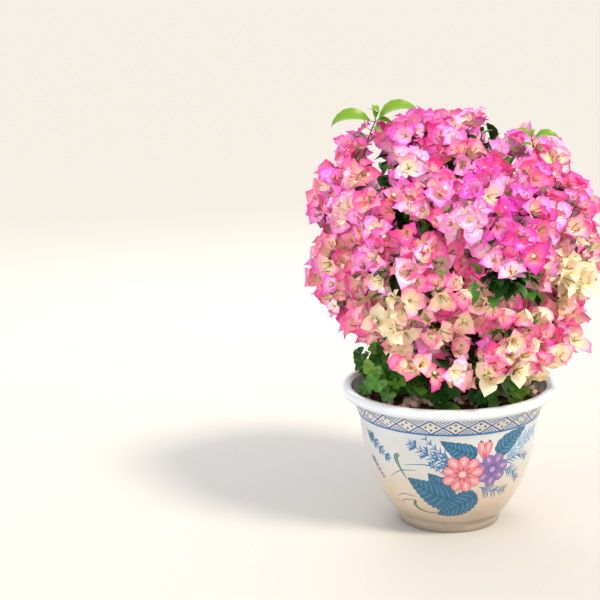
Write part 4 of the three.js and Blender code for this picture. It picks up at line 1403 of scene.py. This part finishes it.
# %% The bracts' tones and kinds
BRACT_TONES = {
    "greenish cream": "#e9e2a8", "cream": "#fbeeca", "ivory": "#fde3c4", "peach": "#fccaac",
    "apricot": "#fbb198", "coral": "#f78588", "blush": "#fcbdc9", "light rose": "#fc98bc",
    "rose": "#fb74ac", "pink": "#f856a9", "hot pink": "#f23aa4", "magenta": "#e72099",
    "deep magenta": "#d1107e", "pale lilac": "#fdd9ec", "lilac pink": "#fbaddd",
    "orchid pink": "#f780d4", "orchid": "#f052c6", "violet magenta": "#e52eb4",
}
ROSY_KINDS = [
    (0, 0, 1, 1, 1, 1, 2, 2),
    (0, 1, 1, 2, 2, 6, 7, 8),
    (0, 1, 2, 3, 6, 7, 8, 9),
    (0, 1, 3, 6, 7, 8, 9, 10),
    (1, 2, 3, 6, 7, 8, 8, 9),
    (1, 3, 4, 7, 7, 8, 9, 10),
    (1, 3, 4, 7, 8, 9, 9, 10),
    (2, 4, 5, 7, 8, 9, 10, 11),
    (3, 4, 5, 8, 9, 10, 10, 11),
    (3, 5, 5, 8, 10, 10, 11, 11),
    (4, 5, 5, 10, 10, 11, 11, 12),
]
LILAC_KINDS = [
    (0, 0, 1, 1, 1, 1, 2, 2),
    (0, 1, 1, 2, 13, 13, 14, 15),
    (0, 1, 2, 13, 13, 14, 15, 16),
    (1, 1, 2, 13, 14, 14, 15, 16),
    (1, 2, 6, 13, 14, 14, 15, 16),
    (1, 2, 6, 14, 14, 15, 15, 16),
    (1, 3, 6, 14, 14, 15, 16, 16),
    (1, 3, 7, 14, 15, 15, 16, 17),
    (3, 7, 14, 15, 15, 16, 16, 17),
    (3, 8, 15, 9, 16, 16, 17, 17),
    (4, 8, 9, 16, 10, 17, 17, 12),
]
print("bract tones:", len(BRACT_TONES), "kinds:", len(ROSY_KINDS) + len(LILAC_KINDS))

# %% Where they grow
# The middle of a drift, how far it reaches, and how much pinker or creamier it is.
DRIFTS = [
    ((111, -242, 663), 62, 4.0), ((203, -207, 582), 52, 3.4), ((-138, -218, 661), 46, 3.0),
    ((-1, -226, 725), 28, 4.2), ((-86, -259, 622), 36, 1.6), ((48, -255, 434), 40, 3.4),
    ((-33, -270, 473), 34, 2.4), ((81, -33, 826), 44, -0.6), ((-43, -176, 770), 52, -2.2),
    ((130, -207, 706), 34, -2.6), ((234, -145, 651), 56, -2.4), ((-17, -253, 681), 40, -3.2),
    ((-239, 5, 733), 60, 0.6), ((-232, -135, 610), 56, -3.4), ((93, -273, 554), 42, -4.2),
    ((-106, -235, 436), 60, -4.4), ((266, -124, 527), 62, -4.2), ((-118, -255, 542), 36, -1.6),
    ((132, -219, 416), 50, -1.0), ((97, -160, 345), 60, -1.0),
]
DRIFT_REACH, DRIFT_FORCE = 1.6, 1.4
# A mass is pinker on its top and creamier underneath; the cream underneath is painted shade.
LEVEL_HEIGHTS, LEVELS, LOBE_SHADE_CHANGE = (330, 760), (2.2, 4.5), 1.3
LEVEL_PATCH, LEVEL_PATCH_MM, LEVEL_SPREAD = 1.4, 80, 0.8
# Lilac kinds grow likelier with height: partly the bracts' own lilac tint, partly a painted highlight of
# the sky on the crown's top.
LILAC_AND_SKY_HIGHLIGHT_HEIGHTS, LILAC_AND_SKY_HIGHLIGHT_SHARES = (470, 760), (0.04, 0.72)
LILAC_PATCH, LILAC_PATCH_MM = 0.6, 60
LILAC_SPOT, LILAC_SPOT_R = (111, -242, 650), 110


def pinkness(place, mass):
    """How pink the blossoms are at a place, as a number of a kind: pinker high up and on top of a mass, and
    creamier under a mass, a colour painted for the shade there.
    """
    level = np.interp(place[2], LEVEL_HEIGHTS, LEVELS)
    level += LOBE_SHADE_CHANGE * (place[2] - mass["middle"][2]) / mass["reach"]
    level += LEVEL_PATCH * noise.noise(Vector(place) / LEVEL_PATCH_MM)
    for middle, radius, change in DRIFTS:
        nearness = 1 - np.linalg.norm(place - np.array(middle)) / (radius * DRIFT_REACH)
        level += change * max(0.0, nearness) * DRIFT_FORCE
    return level


def pick_kind(place, level):
    """The list of tones for a cup of so many steps of pinkness. Lilac kinds are likelier high up, partly as
    a painted highlight of the sky on the crown's top.
    """
    patch = LILAC_PATCH * noise.noise(Vector(place) / LILAC_PATCH_MM)
    lilac = np.interp(place[2], LILAC_AND_SKY_HIGHLIGHT_HEIGHTS, LILAC_AND_SKY_HIGHLIGHT_SHARES) + patch
    lilac += max(0.0, 1 - math.dist(place, LILAC_SPOT) / LILAC_SPOT_R)
    kinds = LILAC_KINDS if chance.random() < lilac else ROSY_KINDS
    return kinds[int(np.clip(round(level + chance.normal(0, LEVEL_SPREAD)), 0, len(kinds) - 1))]


def deal_tones(steps, kind, shift):
    """The tone of each face of a bract: further along its kind's list towards the tip and the rim."""
    row, column = steps // BRACT_COLUMNS, steps % BRACT_COLUMNS
    rim = (np.abs(column - (BRACT_COLUMNS - 1) / 2) > (BRACT_COLUMNS - 2) / 2) & (row > 1)
    return [kind[at] for at in np.clip(row + rim + shift, 0, len(kind) - 1)]


print("drifts of colour:", len(DRIFTS))

# %% [markdown]
# ## Hanging the foliage
# Now each spray gets four or five cups of bracts on short stalks, with the flowers in them, and leaves
# along its twig, mostly hidden behind the blossoms. All go into heaps by ring and kind. A cup is left out
# where it would stand in a hollow or outside the bush's outline.

# %% Start the heaps
FARTHEST_MOUTH = 286
# How low blossoms may hang: by the distance from the crown's axis, and from left to right at the front.
LOW_RIM = [(200, 314), (245, 342), (286, 420)]
LOW_EDGE = [(-250, 505), (-206, 460), (-160, 432), (-119, 392), (-91, 366), (-54, 350), (-17, 334),
            (37, 322), (150, 312), (215, 330), (232, 385), (255, 465), (275, 520)]
LOW_EDGE_Y, LOW_EDGE_FALL = -200, 0.27
RING_NAMES = ["top", "upper", "middle", "lower", "skirt", "basal"]
KIND_NAMES = ["bracts", "flowers", "twigs", "leaves"]
heaps = {(kind, ring): Heap() for kind in KIND_NAMES for ring in RING_NAMES}


def add_tube(heap, line, radii, sides, tone):
    """A tube of one tone along a line, put into a heap."""
    heap.add_plain(*tube_along(line, radii, sides), tone)


def add_stalk(heap, start, end, radii, tone, sides=3):
    """A short straight stalk, put into a heap."""
    add_tube(heap, [start, (start + end) / 2, end], radii, sides, tone)


def in_outline(mouth):
    """Whether a cup's mouth keeps inside the bush's outline, and above its lower edge: blossoms clear the
    leaves in the planter, and further up on the left."""
    out = math.dist(mouth[:2], CROWN[:2])
    lowest = max(np.interp(mouth[0], *zip(*LOW_EDGE)) - LOW_EDGE_FALL * (mouth[1] - LOW_EDGE_Y),
                 np.interp(out, *zip(*LOW_RIM)))
    return out < FARTHEST_MOUTH and mouth[2] > lowest


print("heaps:", len(heaps))

# %% Hang a cup
BRACT_SHAPES = ("closed", "half", "open")
BRACT_TURN, BRACT_LEAN, BRACT_SIZES = 0.2, 0.16, (0.88, 1.12)
STAR_SHARE, STAR_LEAN, STAR_TONE = 0.35, 0.3, 3


def axes_for(facing, spin):
    """Axes as columns, with Z along facing, turned about it by spin."""
    helper = np.array([1.0, 0, 0]) if abs(facing[2]) > 0.9 else np.array([0, 0, 1.0])
    side = unit(np.cross(helper, facing))
    other = np.cross(facing, side)
    return np.column_stack([side * math.cos(spin) + other * math.sin(spin),
                            other * math.cos(spin) - side * math.sin(spin), facing])


def hang_cup(mass, base, facing, spin, level, size):
    """One cup: three bracts turned round the facing, with three flower tubes and now and then a star."""
    axes = axes_for(facing, spin)
    kind = pick_kind(base, level)
    flowers = heaps["flowers", mass["ring"]]
    openness = chance.integers(-1, 4)
    shift = int(chance.integers(-1, 2))
    for third in range(3):
        shape = BRACT_SHAPES[int(np.clip(openness + chance.integers(-1, 2), 0, 2))]
        turn = third * 2 * math.pi / 3 + chance.uniform(-BRACT_TURN, BRACT_TURN)
        turned = axes @ turn_matrix((0, 0, 1), turn) @ turn_matrix((1, 0, 0), chance.normal(0, BRACT_LEAN))
        points, faces, steps = bracts[shape]
        sized = points * size * chance.uniform(*BRACT_SIZES)
        heaps["bracts", mass["ring"]].add(sized @ turned.T + base, faces, deal_tones(steps, kind, shift))
        points, faces = flower_tube
        flowers.add_plain(points * size @ turned.T + base, faces, int(chance.integers(0, STAR_TONE)))
        if third == 0 and chance.random() < STAR_SHARE:
            tip_place = tube_line[-1] * size @ turned.T + base
            lean = unit(facing + STAR_LEAN * (turned @ np.array([0, 1.0, 0])))
            points, faces = flower_star
            flowers.add_plain(points * size @ axes_for(lean, spin).T + tip_place, faces, STAR_TONE)


print("a third of a turn between bracts, give or take", BRACT_TURN, "radians")

# %% Hang a leaf
LEAF_SPARE, BASAL_SPARE, BASAL_OUT = 12, 26, 193
LEAF_STALK, LEAF_STALK_WAY, LEAF_STALK_R = 7, (0.7, 0.5), [0.8, 0.7, 0.6]
TWIG_TONE, STALK_TONE, SHOOT_TONE = 0, 1, 2
FROM_ABOVE = (0.05, 0.1, 1.0)
WAY_AHEAD, WAY_AWAY, DROOP = 0.5, 0.5, 0.35


def leaf_axes(way, light):
    """Axes as columns for a blade that leads out along the way, with its upper face to the light."""
    side = unit(np.cross(way, light))
    return np.column_stack([side, way, np.cross(side, way)])


def hang_leaf(mass, shape, root, way, size, tone, light=FROM_ABOVE):
    """A leaf on a short stalk, if there is room for it."""
    points, faces, _ = shape
    axes = leaf_axes(way, light)
    ahead, up = LEAF_STALK_WAY
    base = root + (way * ahead + axes[:, 2] * up) * LEAF_STALK * size
    placed = points * size @ axes.T + base
    tip_place = placed[np.argmax(np.linalg.norm(placed - root, axis=1))]
    basal = mass["ring"] == "basal"
    spare = BASAL_SPARE if basal else LEAF_SPARE
    inside = math.hypot(*tip_place[:2]) < BASAL_OUT if basal else in_outline(tip_place)
    if not (inside and in_space(base, mass, spare) and in_space(tip_place, mass, spare)):
        return False
    heaps["leaves", mass["ring"]].add_plain(placed, faces, tone)
    add_stalk(heaps["twigs", mass["ring"]], root, base, LEAF_STALK_R, STALK_TONE)
    return True


def leaf_way(mass, line, share, turn):
    """A leaf's way out from a twig, turned round it. It hangs a little, so its face looks outwards."""
    ahead = unit(line[-1] - line[0])
    axes = axes_for(ahead, turn)
    return unit(axes[:, 0] + ahead * WAY_AHEAD * share + mass["away"] * WAY_AWAY - np.array([0, 0, DROOP]))


print("leaves may stand", LEAF_SPARE, "mm outside their space")

# %% Hang a spray
CUPS = {"top": 5, "upper": 5, "middle": 5, "lower": 4, "skirt": 4}
CUP_TURN, CUP_SPREAD, CUP_SPREADS, MIDDLE_SPREAD = 0.3, 1.1, (0.75, 1.2), 0.15
STALK, STALK_SHARES, MIDDLE_STALK, STALK_R = 18, (0.8, 1.3), 0.7, [0.9, 0.7, 0.6]
CUP_LIFT, CUP_LEAN, MOUTH_SHARE = 0.1, 0.12, 0.7
CUP_SIZES, BUD_SIZES, BUD_SHARE = (0.8, 1.06), (0.4, 0.62), 0.12
LEAF_PLACES, LEAF_SIZES, LEAF_TONES_DEALT = (0.25, 0.45, 0.65, 0.82), (0.7, 1.1), [0, 0, 1, 1, 2]
TWIG_R, SIDE_TWIG_R, TWIG_END_R = 1.9, 1.1, 0.96


def place_cup(spray, axes, k, cups):
    """Where a cup of a spray stands and which way it faces: the last one in the middle, the others
    round it."""
    turn = 2 * math.pi * k / (cups - 1) + chance.uniform(-CUP_TURN, CUP_TURN)
    outer = k < cups - 1
    spread = CUP_SPREAD * chance.uniform(*CUP_SPREADS) if outer else MIDDLE_SPREAD
    way = unit(axes @ np.array([math.cos(turn) * spread, math.sin(turn) * spread, 1]))
    base = spray["place"] + way * STALK * chance.uniform(*STALK_SHARES) * (1 if outer else MIDDLE_STALK)
    return base, unit(way + np.array([0, 0, CUP_LIFT]) + chance.normal(0, CUP_LEAN, 3))


def hang_spray(mass, spray, number):
    """A spray: its cups on stalks, the leaves along its twig, and the twig if it bears anything."""
    twigs = heaps["twigs", mass["ring"]]
    bears = spray["bears"]
    axes = axes_for(spray["facing"], spray["spin"])
    level = pinkness(spray["place"] + spray["facing"] * STALK, mass)
    cups = CUPS[mass["ring"]]
    for k in range(cups):
        base, facing = place_cup(spray, axes, k, cups)
        mouth = base + facing * BRACT_LENGTH * MOUTH_SHARE
        if in_hollow(base) or in_hollow(mouth) or not clear_of_pot(mouth) or not in_outline(mouth):
            continue
        middle = (spray["place"] + base) / 2 + chance.normal(0, 1, 3)
        add_tube(twigs, [spray["place"], middle, base], STALK_R, 3, STALK_TONE)
        size = chance.uniform(*CUP_SIZES) if chance.random() > BUD_SHARE else chance.uniform(*BUD_SIZES)
        hang_cup(mass, base, facing, chance.uniform(0, 2 * math.pi), level, size)
        bears += 1
    for k, share in enumerate(LEAF_PLACES):
        way = leaf_way(mass, spray["line"], share, (number * 3 + k) * GOLDEN_TURN)
        bears += hang_leaf(mass, crown_leaf, point_along(spray["line"], share), way,
                           chance.uniform(*LEAF_SIZES), int(chance.choice(LEAF_TONES_DEALT)))
    if bears:
        base_r = TWIG_R if spray["main"] else SIDE_TWIG_R
        add_tube(twigs, spray["line"], np.linspace(base_r, TWIG_END_R, len(spray["line"])), 4, TWIG_TONE)


print("cups in a spray:", CUPS)

# %% Hang the crown
STEM_R, STEM_END_R, STEM_SIDES = 4.8, 2.38, 7

for mass in masses:
    stem_radii = np.linspace(STEM_R, STEM_END_R, len(mass["stem"]))
    add_tube(heaps["twigs", mass["ring"]], mass["stem"], stem_radii, STEM_SIDES, TWIG_TONE)
    if mass["ring"] != "basal":
        for number, spray in enumerate(mass["sprays"]):
            hang_spray(mass, spray, number)
print("crown hung:", sum(heap.count for heap in heaps.values()), "corners")

# %% [markdown]
# ## Basal shoots and young shoots
# Low in the planter are leafy shoots without blossom, with broad leaves, most of them round and lobed, that
# turn their faces to the light. Large old leaves round the stems and the trunk close the view through the
# crown. Two young shoots stand above it, red-brown and bare below, with lime-green leaves that arch over.

# %% Low leafy shoots
BASAL_TRIES, BASAL_GAP, BASAL_SIZES = 420, 16, (0.68, 1.08)
BASAL_TONES, ROUND_SHARE = [0, 0, 1, 2, 2, 3], 0.75
BASAL_FROM, BASAL_SPAN, BASAL_SINK = 0.3, 0.75, 4
BASAL_LEVEL, BASAL_AWAY, BASAL_HANG, BASAL_HANG_SPAN = (1, 1, 0.2), (0.7, 0.7, 0), 0.35, 0.6
OUT_LIGHT, LIGHT_SPREAD = 0.5, 0.25
BASAL_STEM, BASAL_STEM_SPAN, BASAL_ARCH, BASAL_TWIG_R = 0.4, 0.55, 8, [1.3, 1.1, 0.9, 0.8]
STONES_SHOW = ((-66, -112, 288), 42)


def fill_with_leaves(mass):
    """Leaves on twigs of their own, on every side of a basal shoot."""
    draw = stream(mass["seed"])
    roots = []
    for i in range(BASAL_TRIES):
        way = spread_direction(i * 7 % BASAL_TRIES, BASAL_TRIES)
        share = BASAL_FROM + BASAL_SPAN * next(draw)
        size = BASAL_SIZES[0] + (BASAL_SIZES[1] - BASAL_SIZES[0]) * next(draw)
        place = mass["middle"] + way * mass["reach"] * share - np.array([0, 0, BASAL_SINK])
        near = any(np.linalg.norm(place - other) < BASAL_GAP for other in roots)
        if near or not in_space(place, mass, LEAF_SPARE):
            continue
        if math.dist(place, STONES_SHOW[0]) < STONES_SHOW[1]:
            continue
        out = unit(way * np.array(BASAL_LEVEL) + mass["away"] * np.array(BASAL_AWAY)
                   - np.array([0, 0, BASAL_HANG + BASAL_HANG_SPAN * next(draw)]))
        shape = round_leaf if next(draw) < ROUND_SHARE else basal_leaf
        light = np.array([*unit(place[:2]) * OUT_LIGHT, 0]) + np.array(SUN["way"])
        light += chance.normal(0, LIGHT_SPREAD, 3)
        if not hang_leaf(mass, shape, place, out, size, int(chance.choice(BASAL_TONES)), light):
            continue
        roots.append(place)
        root = point_along(mass["stem"], BASAL_STEM + BASAL_STEM_SPAN * next(draw))
        line = arc(root, (root + place) / 2 + np.array([0, 0, BASAL_ARCH]), place, 3)
        add_tube(heaps["twigs", "basal"], line, BASAL_TWIG_R, 3, STALK_TONE)


print("low leaves tried in each mass:", BASAL_TRIES)

# %% Old leaves inside the crown
STEM_LEAVES, STEM_LEAF_SIZES = 16, (1.0, 1.6)
STEM_LEAF_FROM, STEM_LEAF_SPAN, STEM_LEAF_AHEAD = 0.3, 0.65, 3
FOOT_LEAVES, FOOT_HEIGHTS, FOOT_OUT, FOOT_STALK_RISE = 26, (324, 392), 34, 0.2
# Every leaf inside the crown takes the deepest green: a real leaf colour, used here also as painted shade
# for the crown's dark inside.
FOOT_RISE, FOOT_SIZE, INNER_SHADE_LEAF_TONE = -0.9, 1.5, 0
LONG_STALK_R, UP = [1.0, 0.8, 0.7], (0, 0, 1.0)


def fill_inside(mass):
    """Large old leaves round the stem, which close the view through the crown's middle."""
    ahead = unit(mass["stem"][-1] - mass["stem"][0])
    for k in range(STEM_LEAVES):
        share = STEM_LEAF_FROM + STEM_LEAF_SPAN * k / STEM_LEAVES
        way = leaf_way(mass, mass["stem"], share, k * GOLDEN_TURN)
        root = point_along(mass["stem"], share) + ahead * STEM_LEAF_AHEAD
        hang_leaf(mass, crown_leaf, root, way, chance.uniform(*STEM_LEAF_SIZES), INNER_SHADE_LEAF_TONE)


def way_out(bearing, rise):
    """A way out by its bearing in degrees, and how steeply it rises."""
    turn = math.radians(bearing)
    return unit(np.array([math.cos(turn), math.sin(turn), rise]))


def fill_foot():
    """Old leaves that hang round the trunk under the crown and close the view there."""
    for k in range(FOOT_LEAVES):
        bearing = math.degrees(k * GOLDEN_TURN)
        middle = trunk_point(FOOT_HEIGHTS[0] + (FOOT_HEIGHTS[1] - FOOT_HEIGHTS[0]) * k / FOOT_LEAVES)
        base = middle + way_out(bearing, FOOT_STALK_RISE) * FOOT_OUT
        axes = leaf_axes(way_out(bearing, FOOT_RISE), UP)
        points, faces, _ = crown_leaf
        heaps["leaves", "lower"].add_plain(points * FOOT_SIZE @ axes.T + base, faces, INNER_SHADE_LEAF_TONE)
        add_stalk(heaps["twigs", "lower"], middle, base, LONG_STALK_R, STALK_TONE)


print("old leaves round the trunk:", FOOT_LEAVES)

# %% Young shoots
SHOOT_R, SHOOT_STALK, SHOOT_CUP_STALK, SHOOT_CUP_RISE = (2.3, 1.1), 9, 12, 0.6
SHOOT_CUP_R, SHOOT_LEVEL = [0.9, 0.8, 0.7], 12
LIME_FROM, LIME_TONE, FRESH_TONE = 0.9, 4, 2
# A leaf's place along the shoot, its bearing, rise, roll and size, and a cup's place, bearing and size.
SHOOTS = {
    "mass_upper_4": {
        "tip": (-137, -42, 815), "bow": (-20, 10, 0),
        "leaves": [(0.98, 190, 0.12, -40, 1.0), (0.97, -12, 0.5, 40, 1.02), (1.0, 100, 1.6, 10, 0.46),
                   (1.0, -80, 1.3, 0, 0.36), (1.0, 200, 2.2, 0, 0.34), (0.95, -30, 0.25, 40, 0.45),
                   (0.88, -60, 0.1, 20, 0.4), (0.74, 170, 0.3, -30, 0.42), (0.68, 0, 0.3, 30, 0.42),
                   (0.58, 215, 0.1, -30, 0.4)],
        "cups": [(0.86, 200, 0.5), (0.84, -20, 0.5)],
    },
    "mass_upper_1": {
        "tip": (158, -60, 776), "bow": (6, -6, 0),
        "leaves": [(0.98, -20, 0.35, 40, 0.6), (1.0, 175, 0.9, -30, 0.42), (1.0, 60, 1.6, 0, 0.3),
                   (0.88, 200, 0.2, -30, 0.32), (0.84, -60, 0.1, 20, 0.3)],
        "cups": [(0.7, -90, 0.55)],
    },
}


def hang_shoot(mass, shoot):
    """A young shoot from the middle of its mass to its tip above the crown, with its leaves and cups."""
    twigs = heaps["twigs", mass["ring"]]
    tip_place, bow = np.array(shoot["tip"], float), np.array(shoot["bow"], float)
    middle = (mass["middle"] + tip_place) / 2 + bow
    line = arc(mass["middle"], middle, tip_place, 10)
    add_tube(twigs, line, np.linspace(*SHOOT_R, len(line)), 6, SHOOT_TONE)
    for share, bearing, rise, roll, size in shoot["leaves"]:
        out = way_out(bearing, rise)
        axes = turn_matrix(out, math.radians(roll)) @ leaf_axes(out, UP)
        node = point_along(line, share)
        base = node + out * SHOOT_STALK * size
        points, faces, _ = shoot_leaf
        tone = LIME_TONE if share > LIME_FROM else FRESH_TONE
        heaps["leaves", mass["ring"]].add_plain(points * size @ axes.T + base, faces, tone)
        add_stalk(twigs, node, base, LONG_STALK_R, SHOOT_TONE, sides=4)
    for share, bearing, size in shoot["cups"]:
        node = point_along(line, share)
        out = way_out(bearing, SHOOT_CUP_RISE)
        steps = [node + out * SHOOT_CUP_STALK * part for part in (0, 0.5, 1)]
        add_tube(twigs, steps, SHOOT_CUP_R, 3, SHOOT_TONE)
        hang_cup(mass, steps[-1], out, bearing, SHOOT_LEVEL, size)


print("young shoots:", len(SHOOTS))

# %% Hang the leafy shoots
for mass in masses:
    if mass["ring"] == "basal":
        fill_with_leaves(mass)
    else:
        fill_inside(mass)
    if mass["node"] in SHOOTS:
        hang_shoot(mass, SHOOTS[mass["node"]])
fill_foot()
print("leaves:", sum(len(heaps["leaves", ring].points) for ring in RING_NAMES))

# %% [markdown]
# ## The foliage's finishes
# Bracts are thin and papery: matt, finely crinkled, and bright where the sun shines through them, for which
# a faint glow of their own colour stands. Leaves are firmer and slightly waxy, so they shine softly. Flower
# tubes are downy and brownish, stars creamy, green twigs smooth and older ones brown.

# %% Finish the foliage
LEAF_TONES = {"deep green leaf": "#2b5a20", "green leaf": "#3d7a29", "fresh leaf": "#5c9a33",
              "young leaf": "#74a430", "lime shoot leaf": "#739c1a"}
FLOWER_TONES = {"olive flower tube": "#94823f", "brown flower tube": "#9a5c40",
                "rosy flower tube": "#ba7062", "cream flower star": "#fbf6d8"}
TWIG_TONES = {"woody twig": "#6f5238", "green stalk": "#7f8b45", "red young stem": "#8a5638"}
BRACT_GLOW = 0.06


def plain_materials(tones, roughness, grain_mm, depth_mm, glow=0.0, **inputs):
    """A row of materials that differ only in their plain base colour."""
    row = []
    for name, colour in tones.items():
        lit = {"Emission Color": linear(colour), "Emission Strength": glow}
        made, tree, shader, place = start_material(name, colour, roughness, **lit, **inputs)
        add_relief(tree, shader, place, grain_mm, depth_mm, strength=0.5)
        row.append(made)
    return row


bract_tones = {f"{name} bract": colour for name, colour in BRACT_TONES.items()}
finishes = {
    "bracts": plain_materials(bract_tones, roughness=0.55, grain_mm=3.5, depth_mm=0.35, glow=BRACT_GLOW,
                              **{"Specular IOR Level": 0.3}),
    "flowers": plain_materials(FLOWER_TONES, roughness=0.7, grain_mm=1.0, depth_mm=0.1),
    "twigs": plain_materials(TWIG_TONES, roughness=0.75, grain_mm=2.0, depth_mm=0.3),
    "leaves": plain_materials(LEAF_TONES, roughness=0.38, grain_mm=5.0, depth_mm=0.5,
                              **{"Specular IOR Level": 0.45}),
}
print("materials:", {kind: len(row) for kind, row in finishes.items()})

total = 0
for (kind, ring), heap in heaps.items():
    if heap.points:
        piece = heap.become(f"{kind}_{ring}", finishes[kind])
        hand_over(piece, [mass["node"] for mass in masses if mass["ring"] == ring])
        triangles = sum(len(face) - 2 for face in heap.faces)
        total += triangles
        print(piece.name, triangles, "triangles")
print("foliage triangles:", total)
